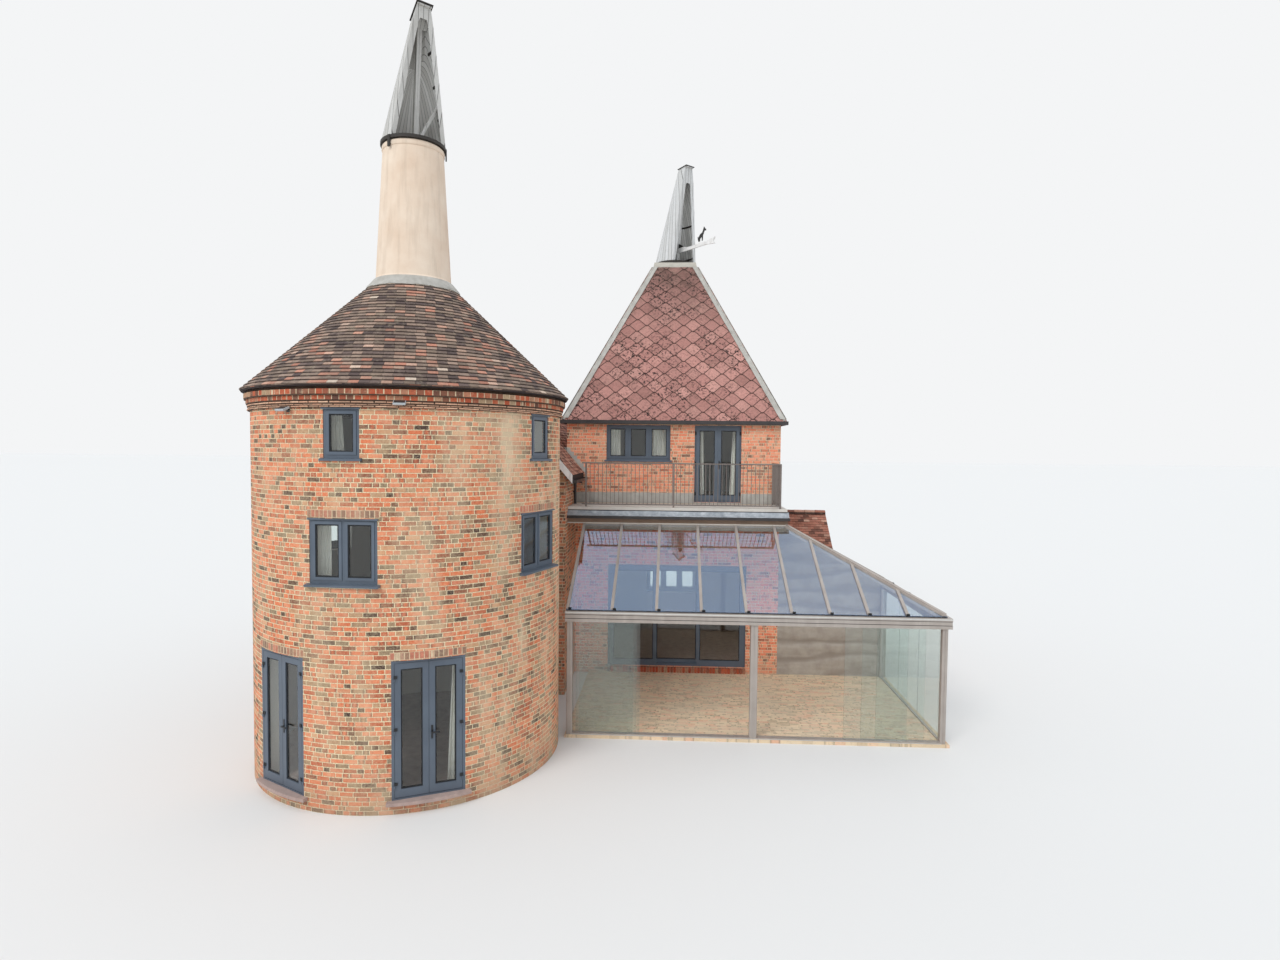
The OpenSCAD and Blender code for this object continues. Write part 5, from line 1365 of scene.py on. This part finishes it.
@dataclass
class SoldierHeads:
    """Upright bricks over the roundel's middle windows and its doors."""

    radius: float = 2.8035
    pitch: float = 0.075
    brick_w: float = 0.064
    height: float = 0.112
    # Each head's bearing in degrees, its width round the wall and its underside.
    heads: tuple[tuple[float, float, float], ...] = (
        (-93.0, 1.2, 4.737), (-19.5, 1.2, 4.737), (155.0, 1.2, 4.737), (-119.5, 1.2, 2.487),
        (-65.6, 1.2, 2.487))

    def places(self, middle: float, width: float, low: float) -> Iterable[Matrix]:
        """Places one head's bricks.

        Args:
            middle: bearing of its middle.
            width: its width round the wall.
            low: its underside.

        Returns:
            Their placings, from left to right as the wall is seen.
        """
        chance = random.Random(int(low * 100 + middle))
        count = round(width / self.pitch)
        for i in range(count):
            turn = middle + math.degrees((i + 0.5 - count / 2) * self.pitch / self.radius)
            radius = self.radius + chance.uniform(-0.002, 0.002)
            yield in_round_wall(turn, radius, low + chance.uniform(-0.003, 0.003))

    def build(self) -> None:
        """Beds each head in mortar and sets its bricks."""
        unit = loose_brick(self.brick_w, self.height, depth=0.02)
        bricks, bed = Workpiece(), Workpiece()
        for number, (middle, width, low) in enumerate(self.heads):
            bricks.stamp(unit, self.places(middle, width, low), 80 + number)
            half = math.degrees(width / 2 / self.radius)
            heights = (low - 0.006, low + self.height + 0.007)
            bed.band((self.radius - 0.02, self.radius - 0.0018), heights, middle - half, middle + half, 24)
        bricks.finish("soldier_head_bricks", SOLDIER_BRICK)
        bed.finish("soldier_head_mortar", MORTAR)


@dataclass
class Floodlight:
    """A small outdoor light on a bracket under the cornice, its face turned down."""

    name: str
    turn: float
    z: float
    reach: float = 0.11
    size: tuple[float, float, float] = (0.19, 0.13, 0.034)
    wall_r: float = 2.80
    fins: int = 7
    fin_t: float = 0.006
    fin_pitch: float = 0.024
    rim: float = 0.012
    arm: float = 0.02

    def build(self) -> None:
        """Makes its housing, dark face and bracket."""
        out, across = bearing(self.turn), bearing(self.turn + 90)
        centre = out * (self.wall_r + self.reach) + UP * self.z
        up = (out * 0.92 - UP * 0.39).normalized()
        place = frame_of(centre, across, up, across.cross(up))
        w, l, t = (side / 2 for side in self.size)
        housing = Workpiece()
        housing.slab((-w, -l, -t), (w, l, t), place, edge=0.006)
        fin = self.fin_t / 2
        for i in range(-self.fins // 2 + 1, self.fins // 2 + 1):
            x = i * self.fin_pitch
            housing.slab((x - fin, -l * 0.7, t - 0.002), (x + fin, l * 0.7, t + 0.012), place)
        housing.finish(f"{self.name}_housing", LIGHT_HOUSING)
        dark = Workpiece()
        rim = self.rim
        dark.slab((-w + rim, -l + rim, -t - 0.004), (w - rim, l - rim, -t + 0.002), place, edge=0.001)
        foot = out * (self.wall_r - 0.003) + UP * (self.z - 0.02)
        dark.slab((-0.035, -0.03, 0.0), (0.035, 0.03, 0.012), frame_of(foot, across, UP, out), edge=0.002)
        for side in (-1, 1):
            beside = across * side * self.arm
            dark.rod(foot + beside, centre + beside - up * l * 0.4, 0.006, 10)
        dark.finish(f"{self.name}_bracket", GUTTER)


@dataclass
class StackTrim:
    """The lead dressed round the stack's foot, and the roll under its rim."""

    foot_r: float = 0.868
    foot_z: float = 8.80
    steps: int = 144
    wave_out: float = 0.012
    wave_down: float = 0.011
    wave_h: float = 0.05

    def build(self) -> None:
        """Spins both rings and makes the lead's foot uneven."""
        lead = Workpiece()
        lead.ring([(0.716, 8.992), (0.738, 8.975), (0.854, 8.838), (self.foot_r, self.foot_z),
                   (self.foot_r - 0.006, self.foot_z - 0.005), (0.848, 8.832), (0.732, 8.968),
                   (0.712, 8.985)], steps=self.steps)
        for v in lead.bm.verts:
            turn = math.atan2(v.co.y, v.co.x)
            wave = 0.5 * math.sin(turn * 9 + 1.3) + 0.3 * math.sin(turn * 23) + 0.2 * math.sin(turn * 41 + 2)
            low = max(0.0, 1 - (v.co.z - self.foot_z) / self.wave_h)
            out = Vector((v.co.x, v.co.y, 0)).normalized()
            v.co += (out * self.wave_out - UP * self.wave_down) * wave * low
        lead.finish("stack_foot_lead", PALE_LEAD, smooth=40)
        roll = Workpiece()
        roll.ring([(0.553, 11.395), (0.570, 11.402), (0.576, 11.42), (0.574, 11.47), (0.566, 11.490),
                   (0.55, 11.496), (0.54, 11.40)], steps=96)
        roll.finish("stack_rim_roll", LIME_RENDER, smooth=40)


def blocks(name: str, finish: Finish, boxes: Iterable[tuple[Point, Point]], edge: float = 0.0) -> None:
    """Makes one piece of square blocks.

    Args:
        name: the piece's name.
        finish: its finish.
        boxes: each block's lowest and highest corners.
        edge: radius of their edges.
    """
    piece = Workpiece()
    for low, high in boxes:
        piece.slab(low, high, edge=edge)
    piece.finish(name, finish)


@dataclass
class BalconyTrim:
    """The balcony's pale edge board and covering, and the lead before and behind it."""

    left: float = 2.506
    right: float = 7.742
    front: float = 3.400
    wall: float = 4.800
    deck_z: float = 4.450
    fascia_y: float = 3.301
    board_w: float = 0.14
    board_t: float = 0.012
    gap: float = 0.003
    doors: tuple[float, float] = (5.568, 6.772)
    ripples: int = 150
    lead_t: float = 0.003

    def boards(self) -> None:
        """Lays the deck's covering boards and fixes the edge board and the fascia's pale foot."""
        piece = Workpiece()
        top = self.deck_z + self.board_t
        for i in range(int((self.wall - self.front) / self.board_w)):
            y = self.front + i * self.board_w
            piece.slab((self.left, y + self.gap, self.deck_z), (self.right, y + self.board_w - self.gap, top),
                       edge=0.002)
        piece.slab((self.left, self.front - 0.016, self.deck_z - 0.088), (self.right, self.front, top),
                   edge=0.003)
        piece.finish("balcony_covering_boards", PALE_TIMBER)
        blocks("fascia_foot_strip", PALE_TIMBER,
               [((self.left, self.fascia_y - 0.014, 4.075), (self.right, self.fascia_y, 4.098))], 0.003)

    def apron(self) -> None:
        """Dresses the wavy lead sheet over the slope in front of the deck, with a black strip along its top as
        painted shade.
        """
        sheet = Workpiece()
        line = [(3.3815, 4.374), (3.3815, 4.352), (3.300, 4.281), (3.237, 4.281), (3.233, 4.262)]
        bmesh.ops.create_grid(sheet.bm, x_segments=self.ripples, y_segments=len(line) - 1, size=0.5)
        chance = random.Random(97)
        bends = [(chance.uniform(1.5, 4.0), chance.uniform(0, 6.3)) for _ in range(5)]
        for v in sheet.bm.verts:
            u, row = v.co.x + 0.5, round((v.co.y + 0.5) * (len(line) - 1))
            x = self.left + u * (self.right - self.left)
            wave = sum(math.sin(x * k + phase + row) for k, phase in bends) / len(bends)
            ripple = 0.5 * math.sin(x * 21 + row * 2.0) + 0.5 * math.sin(x * 37 + row)
            y, z = line[row]
            v.co = Vector((x, y - 0.002 * (1 + ripple) * (0 < row < 3),
                           z + (0.012 * wave if row == 0 else 0.0015 * ripple)))
        bmesh.ops.recalc_face_normals(sheet.bm, faces=sheet.bm.faces)
        bmesh.ops.solidify(sheet.bm, geom=sheet.bm.faces, thickness=self.lead_t)
        sheet.finish("balcony_lead_apron", LEAD, smooth=50)
        # A black strip behind the apron's top edge, as painted shade.
        blocks("apron_top_painted_shade", RUBBER_AND_PAINTED_SHADE, [((self.left, 3.3822, 4.350), (self.right, 3.3842, 4.394))])

    def upstand(self) -> None:
        """Sets the lead upstand along the foot of the kiln's upper wall, in lapped lengths."""
        piece = Workpiece()
        foot, back = self.deck_z + self.board_t, self.wall + 0.001
        for low, high in ((self.left, self.doors[0]), (self.doors[1], self.right)):
            count = max(1, round(high - low))
            step = (high - low) / count
            for i in range(count):
                proud = 0.006 + 0.003 * (i % 2)
                piece.slab((low + i * step - 0.02 * (i > 0), self.wall - proud, foot),
                           (low + (i + 1) * step, back, 4.735 + 0.004 * (i % 2)), edge=0.002)
        piece.slab((self.doors[0], self.wall - 0.008, foot), (self.doors[1], back, 4.497), edge=0.002)
        piece.finish("kiln_wall_lead_upstand", PALE_LEAD)

    def build(self) -> None:
        """Makes the balcony's trim."""
        self.boards()
        self.apron()
        self.upstand()


@dataclass
class Flashings:
    """Stepped lead where the stowage roof meets the kiln, and a straight strip along the kiln's side."""

    wall_y: float = 4.8
    wall_x: float = 2.265
    ridge: tuple[float, float] = (0.7, 7.6)
    fall: float = 1.175
    step: float = 0.085
    steps: int = 6
    lap: float = 0.012
    clear: float = 0.02
    soaker: float = 0.13
    back: float = 10.3

    def roof_z(self, x: float) -> float:
        """Returns the roof's height at an X."""
        return self.ridge[1] - self.fall * (x - self.ridge[0])

    def build(self) -> None:
        """Cuts and fixes each step."""
        piece = Workpiece()
        for i in range(self.steps):
            x = self.wall_x + i * self.step
            end = x + self.step + self.lap
            low, far = self.roof_z(x) + self.clear, self.roof_z(x + self.step) + self.clear
            y = self.wall_y - 0.002 - 0.0015 * (i % 2)
            piece.prism([(x, y, low), (end, y, far - 0.014), (end, y, low + 0.085), (x, y, low + 0.105)],
                        (0, 0.004, 0))
        z = self.roof_z(self.wall_x)
        piece.slab((self.wall_x - 0.004, self.wall_y, z + 0.01), (self.wall_x + 0.001, self.back, z + 0.15),
                   edge=0.001)
        corner = Matrix.Translation((self.wall_x, 0, z + 0.028))
        down_slope = corner @ Matrix.Rotation(math.atan(self.fall), 4, "Y")
        piece.slab((self.wall_x - self.soaker, self.wall_y, -0.002), (self.wall_x - 0.001, self.back, 0.003),
                   down_slope @ Matrix.Translation((-self.wall_x, 0, 0)))
        piece.finish("stowage_roof_flashings", PALE_LEAD)


@dataclass
class DoorFurniture:
    """Black hinge knuckles, plates and a lever on the balcony doors."""

    face_y: float = 4.848
    left: float = 5.57
    right: float = 6.77
    heights: tuple[float, ...] = (4.72, 5.50, 6.28)
    knuckle_r: float = 0.010
    knuckle_h: float = 0.10
    plate_w: float = 0.035
    plate_h: float = 0.08
    lever_z: float = 5.52
    lever_l: float = 0.12

    def build(self) -> None:
        """Sets three hinges at each side, and the lever on its plate."""
        piece = Workpiece()
        y, back = self.face_y, self.face_y + 0.001
        for z in self.heights:
            for x, side in ((self.left + 0.012, 1), (self.right - 0.012, -1)):
                axis, half = y - 0.008, self.knuckle_h / 2
                piece.rod((x, axis, z - half), (x, axis, z + half), self.knuckle_r, 14)
                near, far = sorted((x, x + side * self.plate_w))
                half = self.plate_h / 2
                piece.slab((near, y - 0.004, z - half), (far, back, z + half), edge=0.001)
        x, z = (self.left + self.right) / 2 + 0.035, self.lever_z
        piece.slab((x - 0.014, y - 0.006, z - 0.16), (x + 0.014, back, z + 0.06), edge=0.002)
        piece.rod((x, y - 0.045, z), (x, y, z), 0.008, 14)
        piece.rod((x, y - 0.042, z), (x + self.lever_l, y - 0.045, z - 0.005), 0.0085, 14, tip=0.006)
        piece.finish("balcony_door_furniture", RUBBER_AND_PAINTED_SHADE, smooth=40)


@dataclass
class Gaskets:
    """Black rubber seals round the panes, on both faces of the glass."""

    covered: float = 0.022
    proud: float = 0.004
    bodies: dict[str, str] = field(default_factory=lambda: {
        "roundel_window_glass": "house", "house_window_glass": "house",
        "kiln_slider_leaf_glass": "kiln_slider",
        **{f"{side}_door_glass_{leaf}": f"{side}_door_{leaf}"
           for side in ("left", "right") for leaf in "ab"}})

    def panes(self, node: str) -> Iterable[tuple[Matrix, Vector]]:
        """Finds the panes that a glass node holds.

        Args:
            node: the glass node.

        Returns:
            Each pane's middle placing, and its width, height and thickness.
        """
        bm = bmesh.new()
        bm.from_mesh(frame["nodes"][node].data)
        bmesh.ops.remove_doubles(bm, verts=bm.verts, dist=1e-5)
        left = set(bm.verts)
        while left:
            island, edge = set(), [left.pop()]
            while edge:
                v = edge.pop()
                island.add(v)
                near = {e.other_vert(v) for e in v.link_edges} & left
                left -= near
                edge.extend(near)
            spots = [v.co.copy() for v in island]
            first = spots[0]
            rays = sorted((spot - first for spot in spots[1:]), key=lambda ray: ray.length)
            axes = [rays[0]]
            for ray in rays[1:]:
                if all(abs(ray.normalized().dot(a.normalized())) < 0.02 for a in axes):
                    axes.append(ray)
            thin, one, two = axes[:3]
            wide, tall = (one, two) if abs(two.normalized().z) > 0.9 else (two, one)
            middle = sum(spots, Vector()) / len(spots)
            size = Vector((wide.length, tall.length, thin.length))
            yield frame_of(middle, wide, tall, wide.cross(tall)), size
        bm.free()

    def build(self) -> None:
        """Frames every pane with four strips on each face."""
        for node, body in self.bodies.items():
            piece = Workpiece()
            for place, size in self.panes(node):
                w, h = size.x / 2, size.y / 2
                for side in (-1, 1):
                    near, far = sorted(side * (size.z / 2 + over) for over in (-0.001, self.proud))
                    for low, high in (((-w, -h), (w, -h + self.covered)), ((-w, h - self.covered), (w, h)),
                                      ((-w, -h + self.covered), (-w + self.covered, h - self.covered)),
                                      ((w - self.covered, -h + self.covered), (w, h - self.covered))):
                        piece.slab((*low, near), (*high, far), place)
            piece.finish(f"{node}_seals", RUBBER_AND_PAINTED_SHADE, body)


@dataclass
class VerandaTrim:
    """Clips at the feet of the glazing bars, the rubber under the glass, the threshold, and painted shade and a
    painted highlight on the beam.
    """

    front: float = 0.592
    side: float = 10.45
    low_z: float = 2.60
    rise: float = math.atan2(1.445, 2.709)
    front_bars: tuple[float, ...] = (2.966, 3.866, 4.766, 5.666, 6.566, 7.466, 8.212, 8.958, 9.704)
    side_bars: tuple[float, ...] = (1.338, 2.084, 2.830, 4.0505)
    left: float = 2.879
    right: float = 10.548
    beam_y: float = 0.4985
    wall: float = 4.79
    # The beam's two grooves, filled with black strips as painted shade, and the band that a pale strip covers
    # as a painted highlight.
    grooves: tuple[tuple[float, float], ...] = ((2.4340, 2.4430), (2.5140, 2.5220))
    highlight_band: tuple[float, float] = (2.546, 2.572)
    step_left: float = 3.37
    step_w: float = 3.58
    step_bricks: int = 46

    def clips(self) -> None:
        """Screws a clip over the foot of each glazing bar."""
        cos, sin = math.cos(self.rise), math.sin(self.rise)
        piece = Workpiece()
        places = [frame_of((x, self.front, self.low_z), (1, 0, 0), (0, cos, sin), (0, -sin, cos))
                  for x in self.front_bars]
        places += [frame_of((self.side, y, self.low_z), (0, 1, 0), (-cos, 0, sin), (sin, 0, cos))
                   for y in self.side_bars]
        for place in places:
            piece.slab((-0.033, -0.012, 0.004), (0.033, 0.022, 0.041), place, edge=0.004)
            piece.rod(place @ Vector((0, 0.006, 0.040)), place @ Vector((0, 0.006, 0.046)), 0.008, 10)
        piece.finish("glazing_bar_clips", RUBBER_AND_PAINTED_SHADE)

    def seals(self) -> None:
        """Beds the roof glass in rubber, and fills the two grooves round the beam with black strips as painted
        shade.
        """
        low, high = self.low_z - 0.020, self.low_z - 0.003
        blocks("roof_glass_foot_rubber", RUBBER_AND_PAINTED_SHADE, [
            ((2.94, self.front - 0.016, low), (self.side + 0.016, self.front + 0.010, high)),
            ((self.side - 0.010, self.front, low), (self.side + 0.016, self.wall, high))], 0.003)
        blocks("beam_groove_painted_shade", RUBBER_AND_PAINTED_SHADE, [box for low, high in self.grooves for box in (
            ((self.left, self.beam_y, low), (self.right - 0.005, self.beam_y + 0.0085, high)),
            ((self.right - 0.013, self.beam_y, low), (self.right - 0.0045, self.wall, high)))])

    def strips(self) -> None:
        """Fixes a pale strip along the beam's top band as a painted highlight, and the threshold."""
        low, high = self.highlight_band
        near = self.beam_y - 0.0045
        blocks("beam_painted_highlight_strip", ALUMINIUM_AND_PAINTED_HIGHLIGHT, [
            ((self.left, near, low), (self.right, near + 0.004, high)),
            ((self.right - 0.004, near, low), (self.right, self.wall, high))], 0.0015)
        blocks("veranda_threshold", ALUMINIUM_AND_PAINTED_HIGHLIGHT, [
            ((2.99, self.front - 0.075, 0.0595), (10.40, self.front - 0.045, 0.068))], 0.002)

    def step(self) -> None:
        """Lays the row of bricks on edge under the slider."""
        row = Workpiece()
        pitch = self.step_w / self.step_bricks
        places = [frame_of((self.step_left + (i + 0.5) * pitch, 4.700, 0.060), (1, 0, 0), UP, (0, -1, 0))
                  for i in range(self.step_bricks)]
        row.stamp(loose_brick(0.068, 0.128, depth=0.099), places, 91)
        row.finish("slider_step_bricks", STEP_BRICK)

    def build(self) -> None:
        """Makes the clips, the rubber, the beam's painted shade and painted highlight, the threshold and the
        bricks under the slider.
        """
        self.clips()
        self.seals()
        self.strips()
        self.step()


@dataclass
class Curtain:
    """A cream curtain on a rail behind one window, cut straight and drawn into even folds."""

    name: str
    # In plan, the edge that hangs plumb and the edge that flares; then its hem and its rail.
    fixed: tuple[float, float]
    free: tuple[float, float]
    low: float
    high: float
    flare: float = 1.0
    folds: int = 5
    fullness: float = 1.5
    rows: int = 10
    steps: int = 10
    deepest: float = 0.3
    rail_over: float = 0.06
    to_wall: float = 0.08

    def reach(self, width: float, depth: float) -> float:
        """Measures how long the cloth is along its folds.

        Args:
            width: the width that it hangs in.
            depth: how deep its folds are.

        Returns:
            The cloth's length.
        """
        count = self.folds * self.steps
        lap = [depth * math.sin(2 * math.pi * self.folds * i / count) for i in range(count + 1)]
        return sum(math.hypot(width / count, b - a) for a, b in zip(lap, lap[1:]))

    def depth(self, width: float, cloth: float) -> float:
        """Finds how deep a cloth's folds are, halving the range in which they lie.

        Args:
            width: the width that it hangs in.
            cloth: the cloth's length.

        Returns:
            The depth of its folds.
        """
        low, high = 0.0, self.deepest
        for _ in range(30):
            middle = (low + high) / 2
            low, high = (middle, high) if self.reach(width, middle) < cloth else (low, middle)
        return low

    def build(self) -> None:
        """Hangs the cloth and its rail."""
        start, run = Vector((*self.fixed, 0)), Vector((*self.free, 0)) - Vector((*self.fixed, 0))
        side = run.cross(UP).normalized()
        cloth = self.fullness * run.length * max(1.0, self.flare)
        piece = Workpiece()
        bmesh.ops.create_grid(piece.bm, x_segments=self.folds * self.steps, y_segments=self.rows, size=0.5)
        for v in piece.bm.verts:
            u, h = v.co.x + 0.5, v.co.y + 0.5
            spread = self.flare + (1 - self.flare) * h
            depth = self.depth(run.length * spread, cloth)
            lap = depth * math.sin(2 * math.pi * self.folds * u)
            v.co = start + run * u * spread + side * lap
            v.co += UP * (self.low + h * (self.high - self.low))
        hung = piece.finish(f"{self.name}_curtain", CURTAIN, smooth=80)
        rail = Workpiece()
        ahead = run.normalized() * self.rail_over
        top = UP * self.high
        rail.rod(start - ahead + top, start + run + ahead + top, 0.010, 12)
        for at in (start, start + run):
            rail.rod(at + top, at + top + side * self.bracket(side), 0.008, 10)
        rail.finish(f"{self.name}_curtain_rail", ALUMINIUM_AND_PAINTED_HIGHLIGHT, smooth=40)

    def bracket(self, side: Vector) -> float:
        """Measures the rail's brackets, which reach the kiln's front wall or the roundel's.

        Args:
            side: the level direction across the curtain.

        Returns:
            How far the wall lies along that direction, negative where it lies behind.
        """
        start = Vector((*self.fixed, 0))
        out = Vector((0, -1, 0)) if start.x > KILN_LEFT_X else start.normalized()
        return math.copysign(self.to_wall, side.dot(out))


def behind(turn: float, across: float, depth: float = 2.41) -> tuple[float, float]:
    """Returns the place just inside the roundel's wall, at a distance sideways from a bearing."""
    at = bearing(turn) * depth + bearing(turn + 90) * across
    return at.x, at.y


# Studio and assembly.


@dataclass
class Studio:
    """Pale floor, soft lights, and the camera at the photograph's view."""

    # The camera as recovered from the photograph: its place, focal length and turns in radians.
    place: tuple[float, float, float] = (5.0, -13.697, 5.84)
    focal_px: float = 716.0
    yaw: float = -0.04486
    pitch: float = 0.04219
    roll: float = 0.00987
    sunward: tuple[float, float, float] = (0.55, 0.9, -1.0)
    sun_strength: float = 1.25
    sun_spread: float = 25.0
    sky_strength: float = 1.05
    floor_half: float = 400.0

    def camera(self) -> None:
        """Sets the camera."""
        lens = bpy.data.cameras.new("view")
        lens.sensor_width = 36.0
        lens.lens = self.focal_px / PHOTO_WIDTH_PX * lens.sensor_width
        lens.clip_end = 2000.0
        ahead = Vector((math.sin(self.yaw) * math.cos(self.pitch), math.cos(self.yaw) * math.cos(self.pitch),
                        -math.sin(self.pitch)))
        right = Vector((math.cos(self.yaw), -math.sin(self.yaw), 0.0))
        up = right.cross(ahead)
        right_rolled = right * math.cos(self.roll) + up * math.sin(self.roll)
        up_rolled = -right * math.sin(self.roll) + up * math.cos(self.roll)
        turn = Matrix((right_rolled, up_rolled, -ahead)).transposed().to_4x4()
        view = put("view", lens)
        view.matrix_world = Matrix.Translation(self.place) @ turn
        bpy.context.scene.camera = view

    def lights(self) -> None:
        """Sets a soft sun and an even, pale surround."""
        sun = bpy.data.lights.new("sun", "SUN")
        sun.energy = self.sun_strength
        sun.angle = math.radians(self.sun_spread)
        put("sun", sun).rotation_euler = Vector(self.sunward).to_track_quat("-Z", "Y").to_euler()
        world = bpy.data.worlds.new("surround")
        bpy.context.scene.world = world
        world.use_nodes = True
        world.node_tree.nodes.clear()
        g = Tree(world.node_tree)
        seen = g.add("Background", "#f4f5f6", 1.0)
        lit = g.add("Background", "#e9eef6", self.sky_strength)
        direct = g.add("LightPath", out="Is Camera Ray")
        for name in ("Is Glossy Ray", "Is Transmission Ray"):
            direct = g.add("Math", direct, g.add("LightPath", out=name), operation="MAXIMUM")
        output = g.tree.nodes.new("ShaderNodeOutputWorld")
        g.feed(output.inputs["Surface"], g.add("MixShader", direct, lit, seen))

    def floor(self) -> None:
        """Lays the plain pale floor."""
        piece = Workpiece()
        bmesh.ops.create_grid(piece.bm, x_segments=1, y_segments=1, size=self.floor_half)
        made = piece.mesh("floor")
        made.materials.append(Graph("floor_paint").shade(Base_Color="#e4e3df", Roughness=0.9))
        put("floor", made)

    def build(self) -> None:
        """Sets the whole stage, at the plain view transform."""
        bpy.context.scene.view_settings.view_transform = "Standard"
        self.camera()
        self.lights()
        self.floor()


class Dresser:
    """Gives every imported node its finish."""

    BY_SLOT = {
        "brick": ROUNDEL_BRICK, "kiln_brick": KILN_BRICK, "clay_tile": CONE_TILE, "pink_tile": PINK_TILE,
        "render": LIME_RENDER, "joinery": JOINERY, "glass": GLASS, "toughened_glass": TOUGHENED,
        "boards": COWL_BOARDS, "iron": IRON, "white_timber": WHITE_PAINT, "dark_timber": DARK_TIMBER,
        "floor_boards": FLOOR_BOARDS, "concrete": CONCRETE, "lead": LEAD, "gutter": GUTTER,
        "railing": RAILING, "aluminium": CHAMPAGNE, "pavers": PAVERS,
    }
    BY_NODE = {"stowage_walls": STOWAGE_BRICK, "kiln_cowl_boards": KILN_COWL_BOARDS,
               "roundel_cornice": RECESS_MORTAR_PAINTED_SHADE, "roundel_roof": UNDERTILE_PAINTED_SHADE, "kiln_roof": PINK_UNDERLAY_PAINTED_SHADE,
               "low_roofs": UNDERTILE_PAINTED_SHADE, "cowl_bearings": CURB_TIMBER, "veranda_rear_wall": RIBBED_RENDER,
               "kiln_hips": PALE_LEAD, "wing_walls": WING_BRICK, "veranda_glass": SOLAR_GLASS,
               "kiln_cowl_vane": VANE_PAINT,
               **{f"{side}_door_leaf_{leaf}": LEAF_PAINT[side]
                  for side in ("left", "right") for leaf in "ab"}}

    def build(self) -> None:
        """Puts each node's finish on its slots."""
        for part in frame["record"]["subparts"]:
            node = frame["nodes"][part["node"]]
            finish = self.BY_NODE.get(part["node"], self.BY_SLOT[part["material_slot"]])
            if not node.material_slots:
                node.data.materials.append(finish.material())
            for slot in node.material_slots:
                slot.material = finish.material()
        LOG.info("nodes dressed: %d", len(frame["nodes"]))


def main() -> None:
    """Builds and dresses the whole house."""
    logging.basicConfig(level=logging.INFO, format="%(name)s: %(message)s")
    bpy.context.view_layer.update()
    stowage_ridge = ((0.7, 2.75, 7.600), (0.7, 10.55, 7.600))
    wing_ridge = ((7.77, 8.3, 3.989), (9.665, 8.3, 3.989))
    for part in (
            Studio(),
            Dresser(),
            ConeRoof(),
            GabledRoof("stowage", stowage_ridge, 2.0, 2.350, off_the_roundel_and_kiln),
            GabledRoof("wing", wing_ridge, 2.0, 1.666, anywhere),
            PyramidRoof(),
            Cornice(),
            EavesBed(),
            SoldierHeads(),
            Floodlight("left_floodlight", -112.9, 6.43),
            Floodlight("right_floodlight", -74.3, 6.53),
            StackTrim(),
            BalconyTrim(),
            Flashings(),
            DoorFurniture(),
            Gaskets(),
            VerandaTrim(),
            Curtain("middle_window", behind(-93, -0.70), behind(-93, -0.37), 3.5, 4.84, folds=6),
            Curtain("top_window", behind(-93, -0.46), behind(-93, -0.18), 5.5, 6.40, flare=1.2),
            Curtain("left_door", behind(-119.5, -0.72), behind(-119.5, -0.40), 0.22, 2.52),
            Curtain("right_door", behind(-65.6, 0.70), behind(-65.6, 0.42), 0.22, 2.52, flare=1.35),
            Curtain("kiln_window", (3.16, 5.19), (3.63, 5.19), 5.35, 6.48, folds=7),
            Curtain("kiln_window_right", (5.02, 5.19), (4.40, 5.19), 5.35, 6.48, folds=7),
            Curtain("left_balcony_door", (5.46, 5.19), (5.80, 5.19), 4.50, 6.49, flare=1.15),
            Curtain("right_balcony_door", (6.88, 5.19), (6.58, 5.19), 4.50, 6.49, flare=1.3)):
        part.build()


if __name__ == "__main__":
    main()
